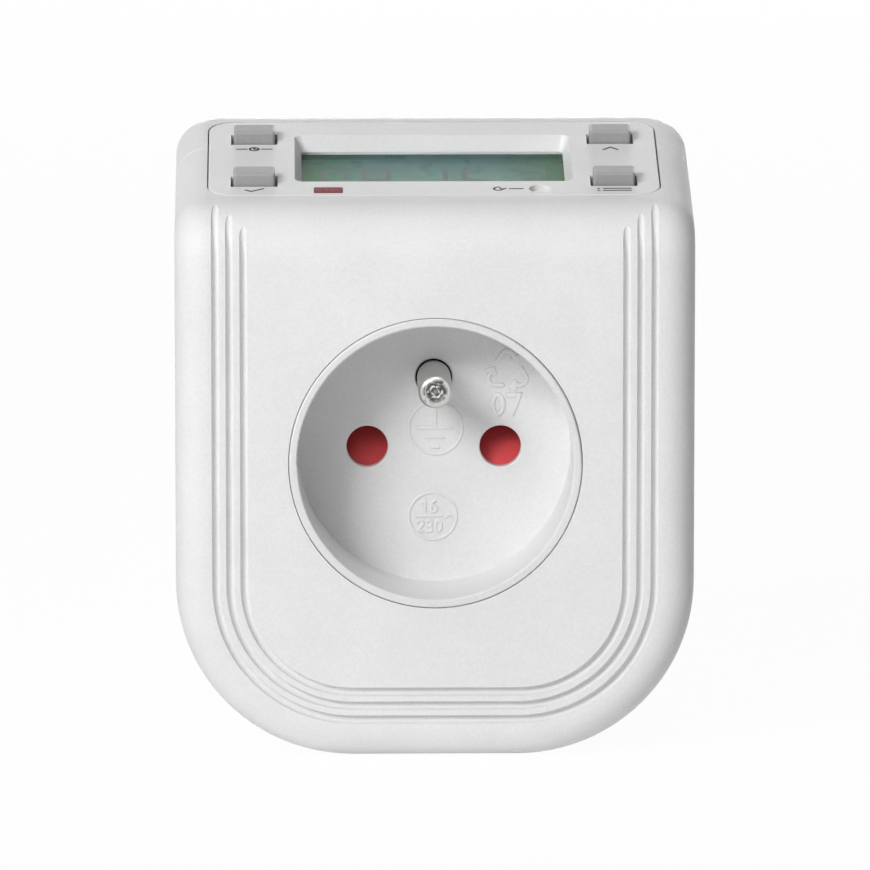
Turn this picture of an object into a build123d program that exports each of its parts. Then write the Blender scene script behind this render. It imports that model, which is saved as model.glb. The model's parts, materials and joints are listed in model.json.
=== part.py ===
from build123d import *
import os
from math import atan2, cos, pi, radians, sin, sqrt, tan

# Plug-in digital timer switch: a sloping panel with a display and keys on top, an earthed
# outlet with a shutter in front, and the plug that carries it at the back.
# Millimetres. +X is the user's right, +Y points into the wall and +Z is up. The origin is the
# middle of the plug's end face, on the axis that plug and outlet share.
# A station is a distance from that face towards the user, measured along -Y.

# Housing
body_width = 73.5
body_depth = 43.0
front_shell_depth = 26.4
axis_height = 42.5
shoulder_height = 35.4
shoulder_radius = 8.0
top_slope = radians(13.0)
corner_radius = 25.0
edge_radius = 4.5
rear_edge_radius = 6.5
wall = 2.2
cavity_edge_radius = 1.0
lip_depth = 1.6
lip_gap = 0.1
parting_chamfer = 0.15
seam = 0.18

# Grooves round the front face, from the outer one inwards, each with the turn of the shoulder
# at which it has run out of the surface
groove_margin = 5.75
groove_pitch = 2.0
groove_radius = 0.6
groove_depth = 0.95
groove_turns = (66.0, 49.5, 33.5)
groove_overrun = 1.25

# Housing screws, driven from the back
screw_ribbon_gap = 0.3
screw_upper_height = 14.0
screw_lower_offset = 17.0
screw_radius = 1.4
screw_head_radius = 2.7
screw_head_height = 2.0
screw_grip = 5.0
screw_bite = 10.0
screw_gap = 0.1
boss_wall = 1.8
counterbore_gap = 0.3
drive_width = 0.7
drive_length = 3.8
drive_depth = 1.1

# Plug
plug_length = 17.0
plug_radius = 18.3
plug_wall = 2.6
plug_face = 3.0
plug_edge = 1.2
guide_width = 5.4
guide_depth = 1.4
pin_radius = 2.4
pin_length = 19.0
pin_spacing = 19.0
pin_tip = 1.6
pin_root_radius = 2.7
pin_collar_radius = 2.95
pin_collar_height = 1.6
pin_tail_radius = 1.6
earth_offset = 10.0
plug_earth_radius = 2.9
strip = 0.8
earth_strip_width = 8.0
earth_strip_start = 1.5
earth_strip_inset = 1.4
cross_bar_inset = 1.0
sleeve_bore = 2.5
sleeve_wall = 0.6
sleeve_slit = 0.8
rivet_radius = 1.8
rivet_head_radius = 2.2
link_margin = 0.1
metal_gap = 0.1
plug_insert_gap = 0.3

# Outlet
recess_radius = 19.5
recess_depth = 15.0
rim_width = 1.2
rim_rounding = 0.25
rim_gap = 0.1
insert_floor = 1.4
insert_flange = 2.0
insert_flange_height = 1.5
contact_hole_radius = 2.95
hole_rounding = 0.25
earth_reach = 14.0
earth_tip = 0.9
earth_neck = 0.25
earth_hole_gap = 0.2
earth_collar_radius = 3.7
earth_collar_height = 1.5
punch_radius = 0.8
punch_lobe = 0.36
punch_lobes = 6
punch_depth = 0.7
insert_boss_x = 12.5
insert_boss_z = 10.5
insert_boss_radius = 2.6
insert_boss_height = 6.0
carrier_screw_radius = 1.1
carrier_screw_head = 2.3
carrier_screw_head_height = 1.6

# Shutter and contacts behind the outlet's floor
shutter_gap = 0.25
shutter_thickness = 5.4
shutter_height = 8.0
shutter_overlap = 1.1
shutter_travel = 6.6
shutter_land = 0.8
shutter_edge = 1.0
shutter_bridge = 2.4
spring_radius = 2.0
spring_wire = 0.25
spring_turns = 6
spring_well = 3.6
spring_peg = 1.3
spring_peg_length = 2.0
contact_grip = 0.05
contact_end_gap = 0.4
contact_front_gap = 0.6
contact_height = 6.4
contact_lead_in = 0.3
contact_leg_width = 4.0
chamber_gap = 0.3
carrier_back_wall = 1.6
wire_space = 4.0
hold_down_radius = 2.0
hold_down_circle = 18.6
hold_down_turn = 20.0

# Control panel, set in the sloping top
panel_front_margin = 1.6
panel_rear_margin = 1.0
panel_corner = 3.6
panel_flange = 1.2
panel_flange_gap = 0.35
panel_rounding = 0.2
window_key_gap = 1.97
window_reset_gap = 0.97
window_taper = 1.0
window_corner = 1.2
lens_height = 1.0
lens_ledge = 1.0
lens_gap = 0.1

# Keys
key_width = 6.1
key_length = 3.6
key_rise = 1.8
key_draft = 0.14
key_rounding = 0.4
key_gap = 0.28
key_flange = 0.45
key_flange_height = 0.8
key_rest_gap = 0.1
key_side_margin = 6.5
key_front_margin = 5.5
key_rear_margin = 7.1
key_travel = 0.6
reset_key_spacing = 10.45
reset_margin = 2.43
reset_radius = 1.65
reset_gap = 0.15
reset_sink = 0.8
reset_flange = 0.4
lamp_key_spacing = 10.5
lamp_margin = 1.95
lamp_width = 3.9
lamp_length = 1.9
lamp_gap = 0.1
lamp_flange = 0.6
lamp_flange_height = 0.8
lamp_proud = 0.1

# Switches, display and parts on the control board
switch_size = 6.0
switch_height = 3.5
reset_switch_length = 3.5
plunger_rise = 0.8
plunger_radius = 1.7
reset_plunger_radius = 1.0
plunger_gap = 0.1
plunger_depth = 1.6
board = 1.6
board_margin = 0.45
post_radius = 1.75
post_side_margin = 3.05
post_rear_side_margin = 7.55
post_rear_margin = 2.15
board_screw_radius = 0.8
board_screw_head = 1.7
board_screw_head_height = 1.2
board_screw_gap = 0.1
glass_height = 2.6
glass_border = 1.0
frame_wall = 0.7
frame_gap = 0.1
zebra_width = 2.2
lamp_body_radius = 1.5
lamp_dome = 1.2
lamp_body_gap = 0.3
battery_radius = 6.0
battery_height = 5.4
chip_radius = 4.0
chip_height = 1.3
crystal_radius = 1.0
crystal_length = 6.0

# Power board below the outlet
power_gap = 0.3
power_side_gap = 5.4
power_end_gap = 1.0
ledge_width = 1.5
ledge_height = 1.2
relay_width = 19.0
relay_length = 15.5
relay_gap = 0.6
film_width = 18.0
film_length = 6.0
film_gap = 3.2
storage_radius = 2.5
storage_gap = 4.7
varistor_radius = 3.8
varistor_thickness = 3.6
part_rounding = 0.5
wire_radius = 1.2
wire_bend = 4.5
ribbon_width = 8.0
ribbon_thickness = 1.0
ribbon_gap = 0.5

# Stations, all counted from the plug's end face
back_at = plug_length
front_at = back_at + body_depth
parting_at = front_at - front_shell_depth
inner_back_at = back_at + wall
inner_front_at = front_at - wall
floor_at = front_at - recess_depth
floor_back_at = floor_at - insert_floor
shutter_front_at = floor_back_at - shutter_gap
shutter_back_at = shutter_front_at - shutter_thickness
pocket_at = shutter_back_at - shutter_gap
contact_front_at = pocket_at - contact_front_gap
leg_back_at = inner_back_at + wire_space
carrier_back_at = leg_back_at + strip
chamber_at = carrier_back_at + carrier_back_wall
contact_back_at = chamber_at + contact_end_gap
sleeve_end_at = plug_length - cross_bar_inset - strip
cross_bar_at = sleeve_end_at + strip
link_at = cross_bar_at + strip
screw_shoulder_at = parting_at - screw_grip


def station(distance):
    """Plane across the axis, facing the user, at a distance from the plug's end face."""
    return Plane.XZ.offset(distance)


# Shape of the top, measured along the slope from its sharp corner with the front face
half_corner = (pi / 2 - top_slope) / 2
roll_length = shoulder_radius * tan(half_corner)
slope_length = body_depth / cos(top_slope) - edge_radius / tan(half_corner)
panel_start = roll_length + panel_front_margin
panel_end = slope_length - panel_rear_margin
panel_length = panel_end - panel_start
panel_middle = (panel_start + panel_end) / 2
panel_width = body_width - 2 * (wall + cavity_edge_radius + panel_flange_gap + panel_flange)
panel_plane = Plane(
    origin=(
        0,
        -front_at + panel_middle * cos(top_slope),
        shoulder_height + panel_middle * sin(top_slope),
    ),
    x_dir=(1, 0, 0),
    z_dir=(0, -sin(top_slope), cos(top_slope)),
)


def panel_level(depth):
    """Plane parallel to the panel's face, at a depth below it."""
    return panel_plane.offset(-depth)


# Depths below the panel's face
panel_underside = wall + panel_flange
key_flange_top = panel_underside + key_rest_gap
key_underside = key_flange_top + key_flange_height
switch_top = key_underside + plunger_rise
board_top = switch_top + switch_height
board_underside = board_top + board
glass_bottom = panel_underside + glass_height

# Plan sizes on the panel
key_x = panel_width / 2 - key_side_margin
key_front_y = -panel_length / 2 + key_front_margin
key_rear_y = panel_length / 2 - key_rear_margin
window_width = 2 * (key_x - key_width / 2 - key_gap - key_flange - window_key_gap)
window_margin = reset_margin + reset_radius + reset_flange + window_reset_gap
window_length = panel_length - 2 * window_margin
sight_width = window_width - 2 * window_taper
sight_length = window_length - 2 * window_taper
lens_width = sight_width + 2 * lens_ledge
lens_length = sight_length + 2 * lens_ledge
glass_width = sight_width + 2 * glass_border
glass_length = sight_length + 2 * glass_border
frame_width = glass_width + 2 * (frame_gap + frame_wall)
frame_length = glass_length + 2 * (frame_gap + frame_wall)
board_width = panel_width - 2 * board_margin
board_length = panel_length - 2 * board_margin
key_places = {
    "clock": (-key_x, key_rear_y),
    "set": (-key_x, key_front_y),
    "up": (key_x, key_rear_y),
    "program": (key_x, key_front_y),
}
reset_place = (key_x - reset_key_spacing, -panel_length / 2 + reset_margin)
lamp_place = (-key_x + lamp_key_spacing, -panel_length / 2 + lamp_margin)
post_x = board_width / 2 - post_side_margin
post_y = (key_front_y + key_rear_y) / 2
post_rear_x = board_width / 2 - post_rear_side_margin
post_rear_y = panel_length / 2 - post_rear_margin
post_places = [(-post_x, post_y), (post_x, post_y), (-post_rear_x, post_rear_y), (post_rear_x, post_rear_y)]

# Sizes across the axis
rim_radius = recess_radius + rim_width
flange_radius = rim_radius + insert_flange
boss_radius = screw_radius + boss_wall
counterbore_radius = screw_head_radius + counterbore_gap
tube_radius = counterbore_radius + boss_wall / 2
ribbon_x = rim_radius + ribbon_gap
power_top = -flange_radius - power_gap
power_underside = power_top - board
screw_upper_x = ribbon_x + ribbon_thickness + screw_ribbon_gap + tube_radius
screw_lower_z = power_underside - ledge_height - tube_radius
screw_places = [
    (-screw_upper_x, screw_upper_height),
    (screw_upper_x, screw_upper_height),
    (-screw_lower_offset, screw_lower_z),
    (screw_lower_offset, screw_lower_z),
]
pin_places = [(-pin_spacing / 2, 0), (pin_spacing / 2, 0)]
insert_boss_places = [(-insert_boss_x, insert_boss_z), (insert_boss_x, insert_boss_z)]

# Room below the power board, and the inner width of the housing's rounded corners at its underside
hang_depth = axis_height - wall + power_underside
relay_height = hang_depth - relay_gap
film_height = hang_depth - film_gap
storage_height = hang_depth - storage_gap
corner_drop = axis_height - corner_radius + power_underside
corner_reach = sqrt((corner_radius - wall) ** 2 - corner_drop**2)
power_width = 2 * (body_width / 2 - corner_radius + corner_reach - power_side_gap)


def housing_form(inset, edge):
    """Closed shape of the housing, taken in by an inset, with its front and top edges rounded."""
    front_y = -front_at + inset
    back_y = -back_at - inset
    bottom = -axis_height + inset
    top_drop = inset / cos(top_slope)
    front_top = shoulder_height + inset * tan(top_slope) - top_drop
    back_top = shoulder_height + (body_depth - inset) * tan(top_slope) - top_drop
    with BuildPart() as form:
        with BuildSketch(Plane.YZ):
            with BuildLine():
                Polyline(
                    (front_y, bottom),
                    (back_y, bottom),
                    (back_y, back_top),
                    (front_y, front_top),
                    close=True,
                )
            make_face()
        extrude(amount=body_width / 2 - inset, both=True)
        fillet(form.edges().filter_by(Axis.Y).group_by(Axis.Z)[0], corner_radius - inset)
        front_edges = form.edges().filter_by(Axis.X).group_by(Axis.Y)[0]
        fillet(front_edges.sort_by(Axis.Z)[-1], shoulder_radius - inset)
        back_edges = form.faces().filter_by(Plane.XZ).sort_by(Axis.Y)[-1].edges()
        fillet(back_edges.sort_by(Axis.Z)[:-1], rear_edge_radius - inset)
        front_face = form.faces().filter_by(Plane.XZ).sort_by(Axis.Y)[0]
        shoulder_face = form.faces().filter_by(GeomType.CYLINDER).sort_by(Axis.Z)[-1]
        top_face = form.faces().filter_by(GeomType.PLANE).sort_by(Axis.Z)[-1]
        outline = front_face.edges() + shoulder_face.edges() + top_face.edges()
        cross_edges = outline.filter_by(Axis.X)
        rim = outline.filter_by(Axis.X, reverse=True)
        rim += [cross_edges.sort_by(Axis.Y)[-1], cross_edges.sort_by(Axis.Z)[0]]
        fillet(rim, edge)
    return form.part


def groove_cutter(margin, turn):
    """Bar with a round edge bent along one groove, whose upper ends leave the shoulder at the given turn."""
    reach = shoulder_radius + groove_depth
    lead = shoulder_radius - reach * cos(turn)
    rise = reach * sin(turn)
    run_out = (lead**2 + rise**2) / (2 * lead)
    end_turn = groove_overrun * atan2(rise, run_out - lead)
    side = body_width / 2 - margin
    base = -axis_height + margin
    bend = corner_radius - margin
    knee = bend * (1 - sin(pi / 4))
    leg_top = shoulder_height - roll_length

    def on_leg(x, angle):
        return (x, -front_at + run_out * (1 - cos(angle)), leg_top + run_out * sin(angle))

    def on_face(x, z):
        return (x, -front_at, z)

    with BuildPart() as cutter:
        with BuildLine() as path:
            ThreePointArc(on_leg(-side, end_turn), on_leg(-side, end_turn / 2), on_leg(-side, 0))
            Line(on_leg(-side, 0), on_face(-side, base + bend))
            ThreePointArc(
                on_face(-side, base + bend),
                on_face(-side + knee, base + knee),
                on_face(-side + bend, base),
            )
            Line(on_face(-side + bend, base), on_face(side - bend, base))
            ThreePointArc(
                on_face(side - bend, base),
                on_face(side - knee, base + knee),
                on_face(side, base + bend),
            )
            Line(on_face(side, base + bend), on_leg(side, 0))
            ThreePointArc(on_leg(side, 0), on_leg(side, end_turn / 2), on_leg(side, end_turn))
        with BuildSketch(Plane(path.line @ 0, x_dir=(1, 0, 0), z_dir=path.line % 0)):
            SlotOverall(2 * groove_depth, 2 * groove_radius, rotation=90)
        sweep()
    return cutter.part


outer_form = housing_form(0, edge_radius)
cavity_form = housing_form(wall, cavity_edge_radius)
rebate_form = housing_form(wall / 2, edge_radius - wall / 2)
tongue_form = housing_form(wall / 2 + lip_gap, edge_radius - wall / 2 - lip_gap)
groove_cutters = [
    groove_cutter(groove_margin + index * groove_pitch, radians(turn))
    for index, turn in enumerate(groove_turns)
]

# Opening for the control panel, cut through the top wall of both shells
with BuildPart() as panel_opening:
    with BuildSketch(panel_level(panel_underside)):
        RectangleRounded(panel_width + 2 * seam, panel_length + 2 * seam, panel_corner + seam)
    extrude(amount=panel_underside + edge_radius)

# Rebate inside the front shell's edge, and the tongue of the rear shell that enters it
with BuildPart() as rebate:
    add(rebate_form)
    add(cavity_form, mode=Mode.SUBTRACT)
    split(bisect_by=station(parting_at), keep=Keep.TOP)
    split(bisect_by=station(parting_at + lip_depth + lip_gap), keep=Keep.BOTTOM)

with BuildPart() as tongue:
    add(tongue_form)
    add(cavity_form, mode=Mode.SUBTRACT)
    split(bisect_by=station(parting_at - lip_depth), keep=Keep.TOP)
    split(bisect_by=station(parting_at + lip_depth), keep=Keep.BOTTOM)

# Front shell
with BuildPart() as front_housing:
    add(outer_form)
    split(bisect_by=station(parting_at), keep=Keep.TOP)
    chamfer(front_housing.faces().sort_by(Axis.Y)[-1].edges(), parting_chamfer)
    add(cavity_form, mode=Mode.SUBTRACT)
    with BuildSketch(station(inner_front_at)):
        with Locations(*screw_places):
            Circle(boss_radius)
        with Locations(*screw_places[2:]):
            Rectangle(ledge_width, power_underside - screw_lower_z, align=(Align.CENTER, Align.MIN))
    extrude(amount=parting_at - inner_front_at)
    add(rebate.part, mode=Mode.SUBTRACT)
    with BuildSketch(station(parting_at)):
        with Locations(*screw_places):
            Circle(screw_radius + screw_gap)
    extrude(amount=screw_bite + screw_gap, mode=Mode.SUBTRACT)
    with BuildSketch(station(front_at)):
        Circle(rim_radius + rim_gap)
    extrude(amount=-wall, mode=Mode.SUBTRACT)
    for cutter in groove_cutters:
        add(cutter, mode=Mode.SUBTRACT)
    add(panel_opening.part, mode=Mode.SUBTRACT)

# Rear shell with the plug's body
plug_bore = plug_radius - plug_wall
strip_outside = plug_bore + earth_strip_inset
rear_plane = Plane(origin=(0, -back_at, 0), x_dir=(-1, 0, 0), z_dir=(0, 1, 0))
hold_down_angles = (hold_down_turn, -hold_down_turn, 180 - hold_down_turn, 180 + hold_down_turn)
with BuildPart() as rear_housing:
    add(outer_form)
    split(bisect_by=station(parting_at), keep=Keep.BOTTOM)
    chamfer(rear_housing.faces().sort_by(Axis.Y)[0].edges(), parting_chamfer)
    add(cavity_form, mode=Mode.SUBTRACT)
    add(tongue.part)
    with BuildSketch(station(inner_back_at)):
        Circle(plug_radius)
    extrude(amount=-inner_back_at)
    fillet(rear_housing.edges().filter_by(GeomType.CIRCLE).sort_by(Axis.Y)[-1], plug_edge)
    with BuildSketch(station(plug_face)):
        Circle(plug_bore)
    extrude(amount=inner_back_at - plug_face, mode=Mode.SUBTRACT)
    with BuildSketch(station(inner_back_at)):
        with Locations(*screw_places):
            Circle(tube_radius)
        for angle in hold_down_angles:
            with PolarLocations(hold_down_circle, 1, start_angle=angle):
                Circle(hold_down_radius)
    extrude(amount=carrier_back_at - inner_back_at)
    with BuildSketch(station(carrier_back_at)):
        with Locations(*screw_places):
            Circle(tube_radius)
    extrude(amount=parting_at - carrier_back_at)
    with Locations(rear_plane):
        with Locations(*[(-x, z) for x, z in screw_places]):
            CounterBoreHole(
                radius=screw_radius + screw_gap,
                counter_bore_radius=counterbore_radius,
                counter_bore_depth=screw_shoulder_at - back_at,
                depth=parting_at - back_at,
            )
    with BuildSketch(station(0)):
        with Locations((plug_radius, 0), (-plug_radius, 0)):
            Rectangle(2 * guide_depth, guide_width)
    extrude(amount=back_at, mode=Mode.SUBTRACT)
    with BuildSketch(station(earth_strip_start - metal_gap)):
        Rectangle(earth_strip_width + 2 * metal_gap, 2 * (plug_radius + plug_wall))
        Rectangle(earth_strip_width + 4 * metal_gap, 2 * (plug_bore - strip), mode=Mode.SUBTRACT)
    extrude(amount=back_at - earth_strip_start + metal_gap, mode=Mode.SUBTRACT)
    with BuildSketch(station(0)):
        with Locations(*pin_places):
            Circle(pin_root_radius + metal_gap / 2)
        with Locations((0, earth_offset)):
            Circle(plug_earth_radius)
    extrude(amount=plug_face, mode=Mode.SUBTRACT)
    add(panel_opening.part, mode=Mode.SUBTRACT)

# Screws that hold the two shells together
with BuildPart() as housing_screws:
    with BuildSketch(station(screw_shoulder_at - screw_head_height)):
        with Locations(*screw_places):
            Circle(screw_head_radius)
    extrude(amount=screw_head_height)
    with BuildSketch(station(screw_shoulder_at)):
        with Locations(*screw_places):
            Circle(screw_radius)
    extrude(amount=screw_grip + screw_bite)
    with BuildSketch(station(screw_shoulder_at - screw_head_height)):
        with Locations(*screw_places):
            Rectangle(drive_length, drive_width)
            Rectangle(drive_width, drive_length)
    extrude(amount=drive_depth, mode=Mode.SUBTRACT)

# Round outlet insert, flush with the front face and held by a flange behind it
with BuildPart() as socket_insert:
    with BuildSketch(Plane.YZ):
        with BuildLine():
            Polyline(
                (-front_at, recess_radius),
                (-front_at, rim_radius),
                (-inner_front_at, rim_radius),
                (-inner_front_at, flange_radius),
                (-inner_front_at + insert_flange_height, flange_radius),
                (-inner_front_at + insert_flange_height, rim_radius),
                (-floor_back_at, rim_radius),
                (-floor_back_at, 0),
                (-floor_at, 0),
                (-floor_at, recess_radius),
                close=True,
            )
        make_face()
    revolve(axis=Axis.Y)
    fillet(socket_insert.edges().group_by(Axis.Y)[0], rim_rounding)
    with BuildSketch(station(floor_back_at)):
        with Locations(*insert_boss_places):
            Circle(insert_boss_radius)
    extrude(amount=-insert_boss_height)
    with BuildSketch(station(floor_back_at - insert_boss_height)):
        with Locations(*insert_boss_places):
            Circle(carrier_screw_radius + screw_gap)
    extrude(amount=insert_boss_height, mode=Mode.SUBTRACT)
    with BuildSketch(station(floor_at)):
        with Locations(*pin_places):
            Circle(contact_hole_radius)
        with Locations((0, earth_offset)):
            Circle(pin_radius + earth_hole_gap)
    extrude(amount=-insert_floor, mode=Mode.SUBTRACT)
    near_floor = (-floor_at - hole_rounding, -floor_at + hole_rounding)
    floor_face = socket_insert.faces().filter_by_position(Axis.Y, *near_floor)[0]
    fillet([wire.edge() for wire in floor_face.inner_wires()], hole_rounding)

# Earth pin of the outlet: a tip with a punched recess, a collar behind the floor and a rivet end
earth_axis = Axis((0, 0, earth_offset), (0, 1, 0))
earth_tip_at = floor_at + earth_reach
with BuildPart() as earth_pin:
    with BuildSketch(Plane.YZ):
        with BuildLine():
            Polyline(
                (-earth_tip_at, earth_offset),
                (-earth_tip_at, earth_offset + pin_radius),
                (-floor_at, earth_offset + pin_radius),
                (-floor_at, earth_offset + pin_radius - earth_neck),
                (-floor_back_at, earth_offset + pin_radius - earth_neck),
                (-floor_back_at, earth_offset + earth_collar_radius),
                (-floor_back_at + earth_collar_height, earth_offset + earth_collar_radius),
                (-floor_back_at + earth_collar_height, earth_offset + rivet_radius),
                (-leg_back_at, earth_offset + rivet_radius),
                (-leg_back_at, earth_offset + rivet_head_radius),
                (-leg_back_at + strip, earth_offset + rivet_head_radius),
                (-leg_back_at + strip, earth_offset),
                close=True,
            )
        make_face()
    revolve(axis=earth_axis)
    fillet(earth_pin.edges().group_by(Axis.Y)[0], earth_tip)
    with BuildSketch(station(earth_tip_at)):
        with Locations((0, earth_offset)):
            Circle(punch_radius)
            with PolarLocations(punch_radius, punch_lobes):
                Circle(punch_lobe)
    extrude(amount=-punch_depth, mode=Mode.SUBTRACT)

# Shutter: two ramped pads on a bridge, pushed down by the plug's pins
pad_half_width = contact_hole_radius + shutter_overlap
shutter_half_width = pin_spacing / 2 + pad_half_width
shutter_bottom = -shutter_height / 2
spring_seat = shutter_bottom - shutter_travel - spring_well
spring_at = (shutter_front_at + shutter_back_at) / 2
ramp_start = shutter_bottom + shutter_land
ramp_end = shutter_height / 2 - shutter_land
with BuildPart() as shutter:
    with BuildSketch(Plane.YZ):
        with BuildLine():
            Polyline(
                (-shutter_front_at, shutter_bottom),
                (-shutter_front_at, ramp_start),
                (-shutter_back_at - shutter_edge, ramp_end),
                (-shutter_back_at - shutter_edge, shutter_height / 2),
                (-shutter_back_at, shutter_height / 2),
                (-shutter_back_at, shutter_bottom),
                close=True,
            )
        make_face()
    extrude(amount=shutter_half_width, both=True)
    with BuildSketch(station(shutter_front_at)):
        Rectangle(pin_spacing - 2 * pad_half_width, shutter_height)
    extrude(amount=shutter_bridge - shutter_thickness, mode=Mode.SUBTRACT)
    with BuildSketch(Plane.XY.offset(shutter_bottom)):
        with Locations((0, -spring_at)):
            Circle(spring_peg)
    extrude(amount=-spring_peg_length)
    with BuildSketch(Plane.XY.offset(shutter_bottom)):
        with Locations((0, -spring_at)):
            Circle(spring_radius + spring_wire)
    extrude(amount=spring_wire)

# Compression spring that closes the shutter
spring_length = shutter_bottom - spring_seat - 2 * spring_wire
with BuildPart() as shutter_spring:
    with BuildLine() as coil:
        Helix(
            pitch=spring_length / spring_turns,
            height=spring_length,
            radius=spring_radius,
            center=(0, -spring_at, spring_seat + spring_wire),
        )
    with BuildSketch(Plane(coil.line @ 0, z_dir=coil.line % 0)):
        Circle(spring_wire)
    sweep(is_frenet=True)

# Insulating carrier behind the floor, with the shutter's pocket and two contact chambers
leaf_gap = pin_radius - contact_grip
chamber_half = leaf_gap + strip + chamber_gap
web_bottom = contact_height / 2
web_top = web_bottom + strip
pocket_top = shutter_height / 2 + shutter_gap
pocket_bottom = shutter_bottom - shutter_travel - shutter_gap
well_half = spring_radius + spring_wire + shutter_gap
with BuildPart() as contact_carrier:
    with BuildSketch(station(carrier_back_at)):
        Circle(rim_radius)
    extrude(amount=floor_back_at - carrier_back_at)
    with BuildSketch(station(floor_back_at)):
        with Locations((0, pocket_bottom)):
            Rectangle(
                2 * (shutter_half_width + shutter_gap),
                pocket_top - pocket_bottom,
                align=(Align.CENTER, Align.MIN),
            )
        with Locations((0, spring_seat)):
            Rectangle(2 * well_half, pocket_bottom - spring_seat, align=(Align.CENTER, Align.MIN))
    extrude(amount=pocket_at - floor_back_at, mode=Mode.SUBTRACT)
    with BuildSketch(station(pocket_at)):
        with Locations(*[(x, web_top + chamber_gap) for x, z in pin_places]):
            Rectangle(
                2 * chamber_half,
                contact_height + strip + 2 * chamber_gap,
                align=(Align.CENTER, Align.MAX),
            )
    extrude(amount=chamber_at - pocket_at, mode=Mode.SUBTRACT)
    with BuildSketch(station(chamber_at)):
        with Locations(*[(x, web_bottom) for x, z in pin_places]):
            Rectangle(contact_leg_width, strip, align=(Align.CENTER, Align.MIN))
    extrude(amount=-carrier_back_wall, mode=Mode.SUBTRACT)
    with BuildSketch(station(floor_back_at)):
        with Locations((0, earth_offset)):
            Circle(earth_collar_radius + metal_gap)
    extrude(amount=-earth_collar_height, mode=Mode.SUBTRACT)
    with BuildSketch(station(floor_back_at)):
        with Locations(*insert_boss_places):
            Circle(insert_boss_radius + metal_gap)
    extrude(amount=-insert_boss_height - metal_gap, mode=Mode.SUBTRACT)
    with BuildSketch(station(floor_back_at)):
        with Locations((0, earth_offset)):
            Circle(rivet_radius + metal_gap / 2)
        with Locations(*insert_boss_places):
            Circle(carrier_screw_radius + screw_gap)
    extrude(amount=carrier_back_at - floor_back_at, mode=Mode.SUBTRACT)

# Screws that hold the carrier to the outlet insert
with BuildPart() as carrier_screws:
    with BuildSketch(station(carrier_back_at)):
        with Locations(*insert_boss_places):
            Circle(carrier_screw_head)
    extrude(amount=-carrier_screw_head_height)
    with BuildSketch(station(carrier_back_at)):
        with Locations(*insert_boss_places):
            Circle(carrier_screw_radius)
    extrude(amount=floor_back_at - carrier_back_at - insert_flange_height)


def contact(x):
    """Clip that grips one plug pin, with a leg down the carrier's back to the power board."""
    with BuildPart() as clip:
        with BuildSketch(station(contact_back_at)):
            with Locations((x, web_top)):
                Rectangle(
                    2 * (leaf_gap + strip),
                    contact_height + strip,
                    align=(Align.CENTER, Align.MAX),
                )
            with Locations((x, web_bottom)):
                Rectangle(2 * leaf_gap, contact_height, align=(Align.CENTER, Align.MAX), mode=Mode.SUBTRACT)
        extrude(amount=contact_front_at - contact_back_at)
        mouth = clip.edges().filter_by(Axis.Z).group_by(Axis.Y)[0].sort_by(Axis.X)
        chamfer(mouth[1:3], contact_lead_in)
        with BuildSketch(Plane.YZ.offset(x - contact_leg_width / 2)):
            with BuildLine():
                Polyline(
                    (-contact_back_at, web_bottom),
                    (-contact_back_at, web_top),
                    (-leg_back_at, web_top),
                    (-leg_back_at, power_top),
                    (-carrier_back_at, power_top),
                    (-carrier_back_at, web_bottom),
                    close=True,
                )
            make_face()
        extrude(amount=contact_leg_width)
    return clip.part


# Carrier inside the plug that holds the pins by their collars
with BuildPart() as plug_insert:
    with BuildSketch(station(plug_face)):
        Circle(plug_bore - plug_insert_gap)
        with Locations((0, earth_offset)):
            Circle(sleeve_bore + sleeve_wall + metal_gap, mode=Mode.SUBTRACT)
        with Locations(*pin_places):
            Circle(pin_tail_radius + metal_gap, mode=Mode.SUBTRACT)
    extrude(amount=sleeve_end_at - plug_face)
    with BuildSketch(station(plug_face)):
        with Locations(*pin_places):
            Circle(pin_collar_radius + metal_gap)
    extrude(amount=pin_collar_height, mode=Mode.SUBTRACT)


def plug_pin(x):
    """Round mains pin with a rounded tip, a collar behind the plug's face and a wire tail."""
    with BuildPart() as pin:
        with BuildSketch(Plane.XY):
            with BuildLine():
                Polyline(
                    (x, pin_length),
                    (x + pin_radius, pin_length),
                    (x + pin_radius, 0),
                    (x + pin_root_radius, 0),
                    (x + pin_root_radius, -plug_face),
                    (x + pin_collar_radius, -plug_face),
                    (x + pin_collar_radius, -plug_face - pin_collar_height),
                    (x + pin_tail_radius, -plug_face - pin_collar_height),
                    (x + pin_tail_radius, -sleeve_end_at),
                    (x, -sleeve_end_at),
                    close=True,
                )
            make_face()
        revolve(axis=Axis((x, 0, 0), (0, 1, 0)))
        fillet(pin.edges().group_by(Axis.Y)[-1], pin_tip)
    return pin.part


# Earth strip of the plug: two side contacts joined by a cross bar
with BuildPart() as plug_earth_strip:
    with BuildSketch(Plane.YZ):
        with Locations((-cross_bar_at, 0)):
            Rectangle(cross_bar_at - earth_strip_start, 2 * strip_outside, align=(Align.MIN, Align.CENTER))
        with Locations((-sleeve_end_at, 0)):
            Rectangle(
                sleeve_end_at - earth_strip_start,
                2 * (strip_outside - strip),
                align=(Align.MIN, Align.CENTER),
                mode=Mode.SUBTRACT,
            )
    extrude(amount=earth_strip_width / 2, both=True)
    fillet(plug_earth_strip.edges().filter_by(Axis.X).group_by(Axis.Y)[0], strip)
    with BuildSketch(station(sleeve_end_at)):
        with Locations((0, earth_offset)):
            Circle(rivet_radius + metal_gap / 2)
    extrude(amount=strip, mode=Mode.SUBTRACT)

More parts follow.
